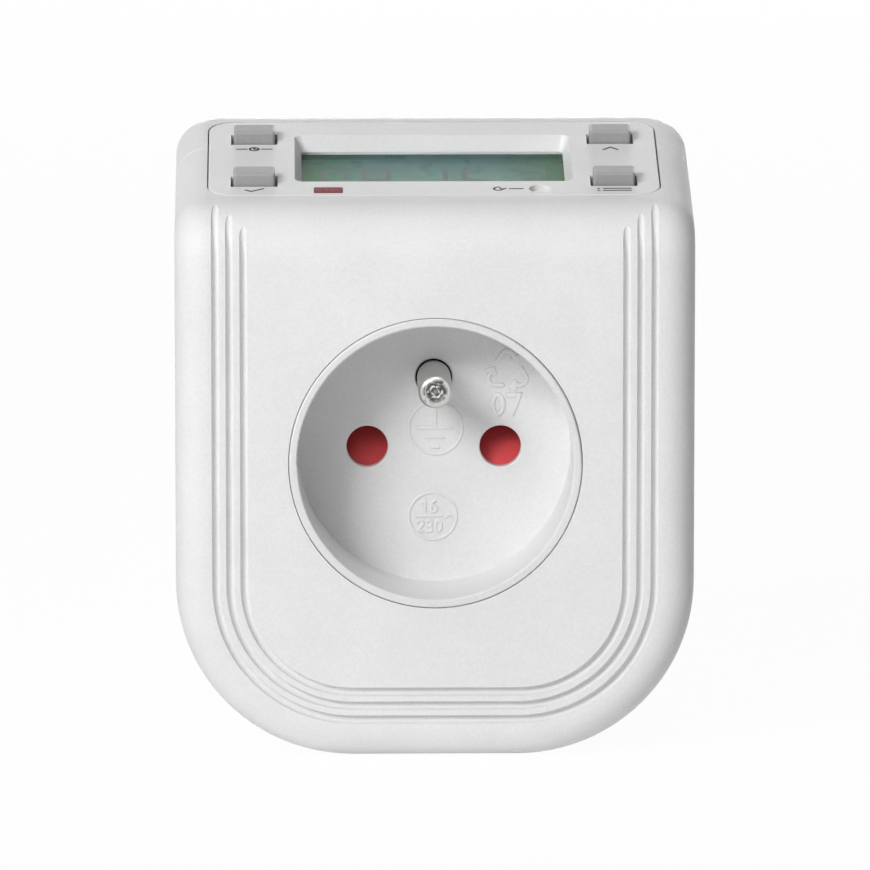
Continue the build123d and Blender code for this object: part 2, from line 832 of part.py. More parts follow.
# Slit sleeve that takes the wall outlet's earth pin
with BuildPart() as plug_earth_sleeve:
    with BuildSketch(Plane.YZ):
        with BuildLine():
            Polyline(
                (-plug_face, earth_offset + sleeve_bore),
                (-plug_face, earth_offset + sleeve_bore + sleeve_wall),
                (-sleeve_end_at, earth_offset + sleeve_bore + sleeve_wall),
                (-sleeve_end_at, earth_offset + rivet_radius),
                (-link_at, earth_offset + rivet_radius),
                (-link_at, earth_offset + rivet_head_radius),
                (-link_at - strip, earth_offset + rivet_head_radius),
                (-link_at - strip, earth_offset),
                (-sleeve_end_at + strip, earth_offset),
                (-sleeve_end_at + strip, earth_offset + sleeve_bore),
                close=True,
            )
        make_face()
    revolve(axis=earth_axis)
    with BuildSketch(station(plug_face)):
        with Locations((0, earth_offset)):
            Rectangle(sleeve_slit, 2 * (sleeve_bore + 2 * sleeve_wall))
    extrude(amount=(sleeve_end_at - plug_face) / 2, mode=Mode.SUBTRACT)

# Bent strap from the earth pin's rivet to the plug's earth strip
link_top = earth_offset + rivet_head_radius + link_margin
link_bottom = earth_offset - rivet_head_radius - 2 * strip
with BuildPart() as earth_link:
    with BuildSketch(Plane.YZ):
        with Locations((-carrier_back_at, link_bottom)):
            Rectangle(
                carrier_back_at - cross_bar_at,
                link_top - link_bottom,
                align=(Align.MIN, Align.MIN),
            )
        with Locations((-leg_back_at, link_bottom + strip)):
            Rectangle(
                leg_back_at - link_at,
                link_top - link_bottom - strip,
                align=(Align.MIN, Align.MIN),
                mode=Mode.SUBTRACT,
            )
    extrude(amount=rivet_head_radius + link_margin, both=True)
    fillet(earth_link.edges().filter_by(Axis.X).group_by(Axis.Z)[0], strip)
    with BuildSketch(station(cross_bar_at)):
        with Locations((0, earth_offset)):
            Circle(rivet_radius + metal_gap / 2)
    extrude(amount=carrier_back_at - cross_bar_at, mode=Mode.SUBTRACT)

# Wires from the plug's pins: live down to the power board, neutral on to its contact
live_x = -pin_spacing / 2
wire_turn_at = inner_back_at + wire_space / 2
with BuildPart() as live_wire:
    with BuildLine() as live_path:
        FilletPolyline(
            (live_x, -sleeve_end_at, 0),
            (live_x, -wire_turn_at, 0),
            (live_x, -wire_turn_at, power_top),
            radius=wire_bend,
        )
    with BuildSketch(Plane(live_path.line @ 0, z_dir=live_path.line % 0)):
        Circle(wire_radius)
    sweep()

with BuildPart() as neutral_wire:
    with BuildSketch(station(sleeve_end_at)):
        with Locations(pin_places[1]):
            Circle(wire_radius)
    extrude(amount=leg_back_at - sleeve_end_at)

# Control panel: a plate in the top opening, with a flange below the housing's wall
with BuildPart() as control_panel:
    with BuildSketch(panel_plane):
        RectangleRounded(panel_width, panel_length, panel_corner)
    extrude(amount=-wall)
    fillet(control_panel.faces().sort_by(Axis.Z)[-1].edges(), panel_rounding)
    with BuildSketch(panel_level(wall)):
        RectangleRounded(
            panel_width + 2 * panel_flange,
            panel_length + 2 * panel_flange,
            panel_corner + panel_flange,
        )
    extrude(amount=-panel_flange)
    with BuildSketch(panel_level(panel_underside)):
        with Locations(*post_places):
            Circle(post_radius)
    extrude(amount=panel_underside - board_top)
    with BuildSketch(panel_level(board_top)):
        with Locations(*post_places):
            Circle(board_screw_radius + board_screw_gap)
    extrude(amount=board_top - panel_underside, mode=Mode.SUBTRACT)
    with BuildSketch(panel_plane):
        RectangleRounded(window_width, window_length, window_corner)
    with BuildSketch(panel_level(wall)):
        RectangleRounded(sight_width, sight_length, window_corner / 2)
    loft(mode=Mode.SUBTRACT)
    with BuildSketch(panel_level(wall)):
        Rectangle(lens_width + 2 * lens_gap, lens_length + 2 * lens_gap)
    extrude(amount=-panel_flange, mode=Mode.SUBTRACT)
    with BuildSketch(panel_plane):
        with Locations(*key_places.values()):
            Rectangle(key_width + 2 * key_gap, key_length + 2 * key_gap)
        with Locations(reset_place):
            Circle(reset_radius)
        with Locations(lamp_place):
            Rectangle(lamp_width + 2 * lamp_gap, lamp_length + 2 * lamp_gap)
    extrude(amount=-panel_underside, mode=Mode.SUBTRACT)


def key(place):
    """Push button with drafted sides and a flange that holds it below the panel."""
    with BuildPart() as cap:
        with BuildSketch(panel_level(key_flange_top)):
            with Locations(place):
                Rectangle(key_width, key_length)
        with BuildSketch(panel_level(-key_rise)):
            with Locations(place):
                Rectangle(key_width - 2 * key_draft, key_length - 2 * key_draft)
        loft()
        lowest_face = cap.faces().sort_by(Axis(panel_plane.origin, panel_plane.z_dir))[0]
        fillet(cap.edges() - lowest_face.edges(), key_rounding)
        with BuildSketch(panel_level(key_flange_top)):
            with Locations(place):
                Rectangle(
                    key_width + 2 * (key_gap + key_flange),
                    key_length + 2 * (key_gap + key_flange),
                )
        extrude(amount=-key_flange_height)
    return cap.part


def plunger(place, radius):
    """Round plunger of one switch, standing between the key and the switch body."""
    with BuildPart() as stem:
        with BuildSketch(panel_level(key_underside)):
            with Locations(place):
                Circle(radius)
        extrude(amount=-plunger_rise - plunger_depth)
    return stem.part


# Reset button, sunk in its hole so that only a pen point reaches it
with BuildPart() as reset_button:
    with BuildSketch(panel_level(reset_sink)):
        with Locations(reset_place):
            Circle(reset_radius - reset_gap)
    extrude(amount=reset_sink - key_flange_top)
    with BuildSketch(panel_level(key_flange_top)):
        with Locations(reset_place):
            Circle(reset_radius + reset_flange)
    extrude(amount=-key_flange_height)

# Switch bodies on the control board, one below each key and one below the reset button
with BuildPart() as switch_bodies:
    with BuildSketch(panel_level(board_top)):
        with Locations(*key_places.values()):
            Rectangle(switch_size, switch_size)
        with Locations(reset_place):
            Rectangle(switch_size, reset_switch_length)
    extrude(amount=switch_height)
    with BuildSketch(panel_level(switch_top)):
        with Locations(*key_places.values()):
            Circle(plunger_radius + plunger_gap)
        with Locations(reset_place):
            Circle(reset_plunger_radius + plunger_gap)
    extrude(amount=-plunger_depth - key_travel - plunger_gap, mode=Mode.SUBTRACT)

# Lens of the indicator lamp, and the lamp below it
with BuildPart() as lamp_lens:
    with BuildSketch(panel_level(-lamp_proud)):
        with Locations(lamp_place):
            Rectangle(lamp_width, lamp_length)
    extrude(amount=-lamp_proud - panel_underside)
    with BuildSketch(panel_level(panel_underside)):
        with Locations(lamp_place):
            Rectangle(lamp_width + 2 * lamp_flange, lamp_length + 2 * lamp_flange)
    extrude(amount=-lamp_flange_height)

lamp_top = panel_underside + lamp_flange_height + lamp_body_gap
with BuildPart() as indicator_lamp:
    with BuildSketch(panel_level(board_top)):
        with Locations(lamp_place):
            Circle(lamp_body_radius)
    extrude(amount=board_top - lamp_top)
    dome = indicator_lamp.faces().sort_by(Axis(panel_plane.origin, panel_plane.z_dir))[-1]
    fillet(dome.edges(), lamp_dome)

# Clear lens in the bottom of the window
with BuildPart() as display_lens:
    with BuildSketch(panel_level(wall)):
        Rectangle(lens_width, lens_length)
    extrude(amount=-lens_height)

# Display glass, its holder and the strip that connects it to the board
with BuildPart() as display_glass:
    with BuildSketch(panel_level(panel_underside)):
        Rectangle(glass_width, glass_length)
    extrude(amount=-glass_height)

with BuildPart() as display_holder:
    with BuildSketch(panel_level(panel_underside)):
        Rectangle(frame_width, frame_length)
        Rectangle(frame_width - 2 * frame_wall, frame_length - 2 * frame_wall, mode=Mode.SUBTRACT)
    extrude(amount=panel_underside - board_top)

with BuildPart() as display_connector:
    with BuildSketch(panel_level(glass_bottom)):
        with Locations((0, glass_length / 2)):
            Rectangle(sight_width, zebra_width, align=(Align.CENTER, Align.MAX))
    extrude(amount=glass_bottom - board_top)

# Control board and its screws
with BuildPart() as control_board:
    with BuildSketch(panel_level(board_top)):
        Rectangle(board_width, board_length)
        with Locations(*post_places):
            Circle(board_screw_radius + board_screw_gap, mode=Mode.SUBTRACT)
    extrude(amount=-board)

with BuildPart() as board_screws:
    with BuildSketch(panel_level(board_underside)):
        with Locations(*post_places):
            Circle(board_screw_head)
    extrude(amount=-board_screw_head_height)
    with BuildSketch(panel_level(board_underside)):
        with Locations(*post_places):
            Circle(board_screw_radius)
    extrude(amount=board + (board_top - panel_underside) / 2)

# Parts below the control board
with BuildPart() as backup_battery:
    with BuildSketch(panel_level(board_underside)):
        with Locations((-board_width / 4, 0)):
            Circle(battery_radius)
    extrude(amount=-battery_height)

with BuildPart() as controller_chip:
    with BuildSketch(panel_level(board_underside)):
        Circle(chip_radius)
    extrude(amount=-chip_height)
    fillet(controller_chip.edges().sort_by(Axis(panel_plane.origin, panel_plane.z_dir))[0], chip_height / 2)

with BuildPart() as quartz_crystal:
    with BuildSketch(panel_level(board_underside + crystal_radius)):
        with Locations((board_width / 8, chip_radius)):
            Rectangle(2 * crystal_radius, crystal_length, align=(Align.CENTER, Align.MIN))
    extrude(amount=crystal_radius, both=True)
    lower_edges = quartz_crystal.edges().sort_by(Axis(panel_plane.origin, panel_plane.z_dir))[:2]
    fillet(lower_edges, crystal_radius / 2)

# Power board below the outlet, resting on the lower screw bosses, with its parts hanging under it
power_back_at = inner_back_at + power_end_gap
power_front_at = inner_front_at - power_end_gap
film_at = power_back_at + film_length / 2
small_at = power_front_at - storage_radius
relay_at = (film_at + film_length / 2 + small_at - storage_radius) / 2
with BuildPart() as power_board:
    with BuildSketch(Plane.XY.offset(power_underside)):
        with Locations((0, -power_front_at)):
            Rectangle(power_width, power_front_at - power_back_at, align=(Align.CENTER, Align.MIN))
    extrude(amount=board)

with BuildPart() as relay:
    with BuildSketch(Plane.XY.offset(power_underside)):
        with Locations((0, -relay_at)):
            Rectangle(relay_width, relay_length)
    extrude(amount=-relay_height)
    fillet(relay.edges().filter_by(Axis.Z), part_rounding)

with BuildPart() as film_capacitor:
    with BuildSketch(Plane.XY.offset(power_underside)):
        with Locations((0, -film_at)):
            Rectangle(film_width, film_length)
    extrude(amount=-film_height)
    fillet(film_capacitor.edges().filter_by(Axis.Z), part_rounding)

with BuildPart() as storage_capacitor:
    with BuildSketch(Plane.XY.offset(power_underside)):
        with Locations((-relay_width / 4, -small_at)):
            Circle(storage_radius)
    extrude(amount=-storage_height)

with BuildPart() as varistor:
    with BuildSketch(station(small_at)):
        with Locations((relay_width / 4, power_underside - varistor_radius)):
            Circle(varistor_radius)
    extrude(amount=varistor_thickness / 2, both=True)
    with BuildSketch(Plane.XY.offset(power_underside)):
        with Locations((relay_width / 4, -small_at)):
            Rectangle(varistor_radius, varistor_thickness / 2)
    extrude(amount=-varistor_radius)

# Flat cable beside the outlet, from the power board up to the control board between its posts
ribbon_y = panel_plane.origin.Y + (post_y + post_rear_y) / 2 * cos(top_slope)
with BuildPart() as ribbon_cable:
    with BuildSketch(Plane.XY.offset(power_top)):
        with Locations((ribbon_x, ribbon_y)):
            Rectangle(ribbon_thickness, ribbon_width, align=(Align.MIN, Align.CENTER))
    extrude(amount=shoulder_height - power_top + wall)
    split(bisect_by=panel_level(board_underside), keep=Keep.BOTTOM)

pieces = {
    "front_housing": front_housing.part,
    "rear_housing": rear_housing.part,
    "housing_screws": housing_screws.part,
    "control_panel": control_panel.part,
    "socket_insert": socket_insert.part,
    "earth_pin": earth_pin.part,
    "shutter": shutter.part,
    "shutter_spring": shutter_spring.part,
    "contact_carrier": contact_carrier.part,
    "carrier_screws": carrier_screws.part,
    "live_contact": contact(live_x),
    "neutral_contact": contact(-live_x),
    "plug_insert": plug_insert.part,
    "live_plug_pin": plug_pin(live_x),
    "neutral_plug_pin": plug_pin(-live_x),
    "plug_earth_strip": plug_earth_strip.part,
    "plug_earth_sleeve": plug_earth_sleeve.part,
    "earth_link": earth_link.part,
    "live_wire": live_wire.part,
    "neutral_wire": neutral_wire.part,
    "display_lens": display_lens.part,
    "display_glass": display_glass.part,
    "display_holder": display_holder.part,
    "display_connector": display_connector.part,
    "control_board": control_board.part,
    "board_screws": board_screws.part,
    "switch_bodies": switch_bodies.part,
    "reset_button": reset_button.part,
    "reset_plunger": plunger(reset_place, reset_plunger_radius),
    "lamp_lens": lamp_lens.part,
    "indicator_lamp": indicator_lamp.part,
    "backup_battery": backup_battery.part,
    "controller_chip": controller_chip.part,
    "quartz_crystal": quartz_crystal.part,
    "power_board": power_board.part,
    "relay": relay.part,
    "film_capacitor": film_capacitor.part,
    "storage_capacitor": storage_capacitor.part,
    "varistor": varistor.part,
    "ribbon_cable": ribbon_cable.part,
}
for key_name, key_place in key_places.items():
    pieces[f"{key_name}_button"] = key(key_place)
    pieces[f"{key_name}_plunger"] = plunger(key_place, plunger_radius)

os.makedirs("parts", exist_ok=True)
for piece_name, piece in pieces.items():
    piece.label = piece_name
    export_step(piece, f"parts/{piece_name}.step")
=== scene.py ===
"""Looks of a plug-in timer switch with an earthed outlet.

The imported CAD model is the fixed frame. This script gives every CAD node a procedural finish,
adds the printed signs, the moulded reliefs, the display's segments and the shutter's spring, and
sets up a white studio with a camera at the photograph's viewing angle. Lengths of the signs are
written in millimetres on the face that carries them, and everything else is in metres.
"""

import json
import logging
import math
from dataclasses import dataclass
from enum import Enum
from functools import lru_cache
from typing import Protocol, Sequence

import bmesh
import bpy
import numpy as np
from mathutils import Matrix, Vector

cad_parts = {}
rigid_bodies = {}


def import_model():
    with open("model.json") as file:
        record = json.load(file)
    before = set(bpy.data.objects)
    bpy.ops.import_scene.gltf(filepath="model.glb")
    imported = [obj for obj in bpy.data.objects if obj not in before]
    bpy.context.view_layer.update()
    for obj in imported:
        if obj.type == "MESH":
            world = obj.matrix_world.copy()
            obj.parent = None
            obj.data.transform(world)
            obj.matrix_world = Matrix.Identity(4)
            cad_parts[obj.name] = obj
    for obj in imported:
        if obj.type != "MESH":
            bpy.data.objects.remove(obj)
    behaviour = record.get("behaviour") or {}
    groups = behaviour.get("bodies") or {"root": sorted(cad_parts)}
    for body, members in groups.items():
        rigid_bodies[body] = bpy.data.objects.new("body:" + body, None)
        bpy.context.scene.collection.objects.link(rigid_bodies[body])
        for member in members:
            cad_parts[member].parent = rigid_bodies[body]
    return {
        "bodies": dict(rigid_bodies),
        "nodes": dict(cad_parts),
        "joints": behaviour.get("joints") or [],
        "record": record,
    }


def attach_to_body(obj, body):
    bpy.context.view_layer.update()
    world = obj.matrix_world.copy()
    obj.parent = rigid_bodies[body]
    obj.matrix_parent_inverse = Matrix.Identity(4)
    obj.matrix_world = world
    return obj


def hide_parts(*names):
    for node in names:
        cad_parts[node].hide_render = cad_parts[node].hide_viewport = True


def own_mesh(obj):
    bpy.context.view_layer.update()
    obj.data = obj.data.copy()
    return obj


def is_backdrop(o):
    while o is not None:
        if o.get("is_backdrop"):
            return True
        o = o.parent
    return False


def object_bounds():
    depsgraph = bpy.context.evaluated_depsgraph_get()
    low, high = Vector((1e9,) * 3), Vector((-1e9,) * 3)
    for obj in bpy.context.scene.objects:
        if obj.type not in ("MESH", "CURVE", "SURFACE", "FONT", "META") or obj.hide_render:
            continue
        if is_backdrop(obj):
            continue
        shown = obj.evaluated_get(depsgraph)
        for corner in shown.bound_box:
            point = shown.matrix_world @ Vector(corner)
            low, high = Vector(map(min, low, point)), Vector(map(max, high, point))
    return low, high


Array = np.ndarray
Pair = tuple[float, float]
Place = tuple[float, float, float]
Colour = tuple[float, float, float]
Piece = bpy.types.Object
Material = bpy.types.Material
Owner = Material | bpy.types.World
Node = bpy.types.Node
Socket = bpy.types.NodeSocket
Feeds = dict[str | int, Socket | float | Sequence[float]]

MM = 0.001
MERGE_DISTANCE = MM * 1e-4
X_AXIS, Y_AXIS, Z_AXIS = np.eye(3)
RIGHT_ANGLE = 90.0
WHITE: Colour = (1.0, 1.0, 1.0)
FULL_SPAN: Pair = (0.0, 1.0)
# Nearly all values of a noise lie in this span.
NOISE_SPAN: Pair = (0.3, 0.7)
# Radians that a wave texture of scale 1 runs through in one unit of length.
WAVE_RATE = 20.0
log = logging.getLogger("timer_switch")


class Slot(Enum):
    """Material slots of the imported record."""

    WHITE_PLASTIC = "white_plastic"
    KEY_PLASTIC = "key_plastic"
    SHUTTER_PLASTIC = "shutter_plastic"
    LAMP_PLASTIC = "lamp_plastic"
    NICKEL = "nickel"
    CONTACT_BRASS = "contact_brass"
    SCREW_STEEL = "screw_steel"
    CARRIER_PLASTIC = "carrier_plastic"
    CLEAR_PLASTIC = "clear_plastic"
    DISPLAY = "display"
    CONNECTOR_RUBBER = "connector_rubber"
    BOARD_LAMINATE = "board_laminate"
    BLACK_PLASTIC = "black_plastic"
    YELLOW_PLASTIC = "yellow_plastic"
    BLUE_PLASTIC = "blue_plastic"
    BROWN_PLASTIC = "brown_plastic"
    GREY_CABLE = "grey_cable"


class Detail(Enum):
    """Octaves of finer lumps in a noise."""

    SOFT = 2.0
    FINE = 3.0
    RICH = 4.0


class PaintedReflection(Enum):
    """Tone of a painted reflection ring on a pin's punched end, as a factor on the metal's colour:
    dark rings stand for mirrored dark surroundings, bright ones for highlights.
    """

    DARK = 0.06
    GREY = 0.5
    PLAIN = 1.0
    BRIGHT = 1.4


def tinted(colour: Colour, factor: float) -> Colour:
    """Colour made lighter or darker by a factor, kept within range."""
    return tuple(min(1.0, channel * factor) for channel in colour)


def opaque(colour: Colour) -> tuple[float, ...]:
    """Colour with full cover, as sockets and ramps take it."""
    return (*colour, 1.0)


class NodeGraph:
    """Node tree of a material or a world, with short calls to add and join nodes."""

    def __init__(self, owner: Owner, output: str) -> None:
        """Start an empty tree with its output.

        Args:
            owner: Material or world that has the tree.
            output: Blender's type name of the output node.
        """
        self.owner = owner
        owner.use_nodes = True
        self.tree = owner.node_tree
        self.tree.nodes.clear()
        self.output = self.add(output)

    def add(self, kind: str, feeds: Feeds | None = None, **options: object) -> Node:
        """Add a node, set its options and feed its inputs.

        Args:
            kind: Blender's type name of the node.
            feeds: Socket to join or constant to set, by the input's name or place.
            **options: Attributes of the node, by name.

        Returns:
            The new node.
        """
        node = self.tree.nodes.new(kind)
        for name, value in options.items():
            setattr(node, name, value)
        for key, feed in (feeds or {}).items():
            if isinstance(feed, Socket):
                self.join(feed, node.inputs[key])
            else:
                node.inputs[key].default_value = feed
        return node

    def join(self, source: Socket, target: Socket) -> None:
        """Link an output to an input."""
        self.tree.links.new(source, target)

    def calculated(self, operation: str, *values: Socket | float) -> Socket:
        """Result of one calculation with the given values."""
        return self.add("ShaderNodeMath", dict(enumerate(values)), operation=operation).outputs[0]

    def mixed(self, share: Socket, first: Node, second: Node) -> Node:
        """Shader that gives way to a second one by a share."""
        feeds = {0: share, 1: first.outputs[0], 2: second.outputs[0]}
        return self.add("ShaderNodeMixShader", feeds)

    def seen_rays(self, share: float) -> Socket:
        """Share that applies to rays from the camera, mirrors and glass, and to no others.

        Args:
            share: Value for those rays.

        Returns:
            The share, or zero.
        """
        rays = self.add("ShaderNodeLightPath").outputs
        seen = rays["Is Camera Ray"]
        for name in ("Is Glossy Ray", "Is Transmission Ray"):
            seen = self.calculated("MAXIMUM", seen, rays[name])
        return self.calculated("MULTIPLY", seen, share)

    def finish(self, shader: Node) -> Owner:
        """Send a shader to the output and return the tree's owner."""
        self.join(shader.outputs[0], self.output.inputs["Surface"])
        return self.owner


class MaterialGraph(NodeGraph):
    """Node tree of one material, with patterns on object coordinates."""

    def __init__(self, name: str) -> None:
        """Start an empty material with its output and object coordinates."""
        super().__init__(bpy.data.materials.new(name), "ShaderNodeOutputMaterial")
        self.place = self.add("ShaderNodeTexCoord").outputs["Object"]

    def stretched(self, scale: Place, shift: Place = (0.0, 0.0, 0.0)) -> Socket:
        """Object coordinates, scaled along X, Y and Z and then moved."""
        feeds = {"Vector": self.place, "Scale": scale, "Location": shift}
        return self.add("ShaderNodeMapping", feeds).outputs["Vector"]

    def coordinate(self, axis: str) -> Socket:
        """Object coordinate along one axis."""
        return self.add("ShaderNodeSeparateXYZ", {0: self.place}).outputs[axis]

    def noise(
        self, size: float, detail: Detail = Detail.SOFT, place: Socket | None = None
    ) -> Socket:
        """Cloudy noise from 0 to 1, with lumps of a size, on the object's or other coordinates."""
        feeds = {"Scale": 1.0 / size, "Detail": detail.value, "Vector": place or self.place}
        return self.add("ShaderNodeTexNoise", feeds).outputs["Fac"]

    def waves(self, axis: str, pitch: float) -> Socket:
        """Waves from 0 to 1 that follow each other along an axis, a pitch apart."""
        feeds = {"Scale": math.tau / (WAVE_RATE * pitch), "Vector": self.place}
        return self.add("ShaderNodeTexWave", feeds, bands_direction=axis).outputs["Fac"]

    def ranged(self, value: Socket, source: Pair, target: Pair = FULL_SPAN) -> Socket:
        """Carry a number from one span to another, held at both ends.

        Args:
            value: The number.
            source: Span that it comes from.
            target: Span that it goes to.

        Returns:
            The new number.
        """
        names = ("From Min", "From Max", "To Min", "To Max")
        feeds = {"Value": value, **dict(zip(names, (*source, *target)))}
        return self.add("ShaderNodeMapRange", feeds).outputs["Result"]

    def spread(self, value: Socket, middle: float, reach: float) -> Socket:
        """Turn noise into a number that stays within reach of a middle value."""
        return self.ranged(value, NOISE_SPAN, (middle - reach, middle + reach))

    def bands(self, value: Socket, stops: Sequence[tuple[float, Colour]]) -> Socket:
        """Blend through several colours.

        Args:
            value: Value that picks the place in the blend.
            stops: Value and colour of each stop, in rising order.

        Returns:
            The blended colour.
        """
        node = self.add("ShaderNodeValToRGB", {"Fac": value})
        elements = node.color_ramp.elements
        elements.remove(elements[-1])
        for number, (place, colour) in enumerate(stops):
            stop = elements[0] if number == 0 else elements.new(place)
            stop.position = place
            stop.color = opaque(colour)
        return node.outputs["Color"]

    def ramp(self, value: Socket, colours: Sequence[Colour], span: Pair = NOISE_SPAN) -> Socket:
        """Blend of two colours, which are reached at the ends of the value's span."""
        return self.bands(value, tuple(zip(span, colours)))

    def multiplied(self, first: Socket, second: Socket) -> Socket:
        """Product of two colours.

        Args:
            first: The one colour.
            second: The other colour.

        Returns:
            The product.
        """
        node = self.add("ShaderNodeMix", {"Factor": 1.0}, data_type="RGBA", blend_type="MULTIPLY")
        colours = [socket for socket in node.inputs if socket.type == "RGBA"]
        for source, target in zip((first, second), colours):
            self.join(source, target)
        return next(socket for socket in node.outputs if socket.type == "RGBA")

    def bump(self, height: Socket, depth: float) -> Socket:
        """Normal bent by a height from 0 to 1, whose upper end lies a depth in metres out."""
        feeds = {"Strength": 1.0, "Distance": depth, "Height": height}
        return self.add("ShaderNodeBump", feeds).outputs["Normal"]

    def surface(self, feeds: Feeds) -> Material:
        """Material with one Principled shader, whose inputs are fed."""
        return self.finish(self.add("ShaderNodeBsdfPrincipled", feeds))


class Finish(Protocol):
    """Surface finish that can make its own material."""

    def material(self) -> Material:
        """Make the material."""


@dataclass(frozen=True)
class MouldedPlastic:
    """Moulded plastic: an eroded grain, a cloudy colour and uneven gloss."""

    name: str
    colour: Colour
    roughness: float = 0.5
    grain_size: float = 0.00035
    grain_depth: float = 0.000012
    cloud_size: float = 0.014
    cloud_reach: float = 0.03
    painted_shade_strength: float = 0.06
    gloss_size: float = 0.0015
    gloss_reach: float = 0.07
    specular: float = 0.5

    def material(self) -> Material:
        """Noise in three sizes sets colour, gloss and grain, with painted shade darkening the
        grain's hollows.

        Returns:
            The material.
        """
        graph = MaterialGraph(self.name)
        grain = graph.noise(self.grain_size, Detail.FINE)
        middle = tinted(self.colour, 1.0 + self.painted_shade_strength / 2)
        tones = [tinted(middle, 1.0 + side * self.cloud_reach) for side in (-1, 1)]
        cloud = graph.ramp(graph.noise(self.cloud_size, Detail.RICH), tones)
        # Painted shade: the colour darkens where the grain's bump dips.
        painted_hollow_shade = graph.ramp(grain, (tinted(WHITE, 1.0 - self.painted_shade_strength), WHITE))
        gloss = graph.noise(self.gloss_size)
        return graph.surface({
            "Base Color": graph.multiplied(cloud, painted_hollow_shade),
            "Roughness": graph.spread(gloss, self.roughness, self.gloss_reach),
            "Specular IOR Level": self.specular,
            "Normal": graph.bump(grain, self.grain_depth),
        })


@dataclass(frozen=True)
class PlatedMetal:
    """Drawn and plated metal: fine streaks along its length and a cloudy tarnish."""

    name: str
    colour: Colour
    roughness: float = 0.24
    streak_size: float = 0.00025
    streak_length: float = 0.012
    streak_depth: float = 0.0000025
    tarnish_size: float = 0.004
    tarnish: float = 0.12
    tarnish_span: Pair = (0.35, 0.6)
    gloss_reach: float = 0.06

    def material(self) -> Material:
        """Streaks are noise drawn out along Y, which is the way the pins point.

        Returns:
            The material.
        """
        graph = MaterialGraph(self.name)
        drawn = graph.stretched((1.0, self.streak_size / self.streak_length, 1.0))
        streaks = graph.noise(self.streak_size, place=drawn)
        tones = (tinted(self.colour, 1.0 - self.tarnish), self.colour)
        spots = graph.noise(self.tarnish_size, Detail.RICH)
        return graph.surface({
            "Base Color": graph.ramp(spots, tones, self.tarnish_span),
            "Metallic": 1.0,
            "Roughness": graph.spread(streaks, self.roughness, self.gloss_reach),
            "Normal": graph.bump(streaks, self.streak_depth),
        })


@dataclass(frozen=True)
class TurnedPin:
    """Plated round pin: a streaked side, a punched end with painted reflection rings broken into
    facets, and painted shade at its root.
    """

    name: str
    axis: Pair
    root: Pair
    colour: Colour = (0.63, 0.625, 0.61)
    painted_root_shade: Colour = (0.02, 0.02, 0.02)
    radius: float = 0.0024
    roughness: float = 0.42
    end_roughness: float = 0.2
    end_reach: float = 0.75
    painted_reflection_rings: tuple[tuple[float, PaintedReflection], ...] = (
        (0.2, PaintedReflection.GREY), (0.4, PaintedReflection.DARK), (0.5, PaintedReflection.BRIGHT), (0.6, PaintedReflection.GREY),
        (0.72, PaintedReflection.DARK), (0.84, PaintedReflection.GREY), (0.96, PaintedReflection.PLAIN),
    )
    facet_size: float = 0.00075
    facet_reach: float = 0.42
    streak_size: float = 0.0003
    streak_length: float = 0.012
    streak_depth: float = 0.000002

    def material(self) -> Material:
        """Tone and gloss follow the distance from the axis, in shares of the radius.

        Each facet of the end shifts the distance that picks its tone by an amount of its own. The
        rings' tones are painted reflections and highlights, and near the floor painted shade
        darkens the pin's root.

        Returns:
            The material.
        """
        graph = MaterialGraph(self.name)
        scale = 1.0 / self.radius
        across = graph.stretched(
            (scale, 0.0, scale), (-self.axis[0] / self.radius, 0.0, -self.axis[1] / self.radius)
        )
        measure = graph.add("ShaderNodeVectorMath", {0: across}, operation="LENGTH")
        distance = measure.outputs["Value"]
        cells = {"Scale": 1.0 / self.facet_size, "Vector": graph.place}
        facets = graph.add("ShaderNodeTexVoronoi", cells).outputs["Color"]
        uneven = graph.calculated("MULTIPLY_ADD", facets, self.facet_reach, distance)
        # Painted reflections: dark and bright rings stand in for what the pin's end mirrors.
        stops = [(reach, tinted(self.colour, painted_tone.value)) for reach, painted_tone in self.painted_reflection_rings]
        # Painted shade: the colour fades to near black where the pin enters the floor's hole.
        depth = graph.ranged(graph.coordinate("Y"), self.root)
        root = graph.ramp(depth, (self.painted_root_shade, WHITE), FULL_SPAN)
        glosses = (self.end_roughness, self.roughness)
        drawn = graph.stretched((1.0, self.streak_size / self.streak_length, 1.0))
        streaks = graph.noise(self.streak_size, place=drawn)
        return graph.surface({
            "Base Color": graph.multiplied(graph.bands(uneven, stops), root),
            "Metallic": 1.0,
            "Roughness": graph.ranged(distance, (self.end_reach, 1.0), glosses),
            "Normal": graph.bump(streaks, self.streak_depth),
        })


@dataclass(frozen=True)
class ClearPlastic:
    """Clear plastic with a coating against glare and hair scratches."""

    name: str
    colour: Colour
    veil: float = 0.98
    roughness: float = 0.03
    ior: float = 1.12
    scratch_size: float = 0.0004
    scratch_length: float = 0.02
    scratch_depth: float = 0.000001

    def material(self) -> Material:
        """A refracting shader, with a transparent one that lets shadow rays straight through.

        Returns:
            The material.
        """
        graph = MaterialGraph(self.name)
        drawn = graph.stretched((self.scratch_size / self.scratch_length, 1.0, 1.0))
        scratches = graph.noise(self.scratch_size, Detail.FINE, drawn)
        tones = (tinted(self.colour, self.veil), self.colour)
        clear = graph.add("ShaderNodeBsdfPrincipled", {
            "Base Color": graph.ramp(graph.noise(self.scratch_length), tones),
            "Transmission Weight": 1.0,
            "IOR": self.ior,
            "Roughness": graph.spread(scratches, self.roughness, self.roughness / 2),
            "Normal": graph.bump(scratches, self.scratch_depth),
        })
        through = graph.add("ShaderNodeBsdfTransparent")
        rays = graph.add("ShaderNodeLightPath")
        return graph.finish(graph.mixed(rays.outputs["Is Shadow Ray"], clear, through))


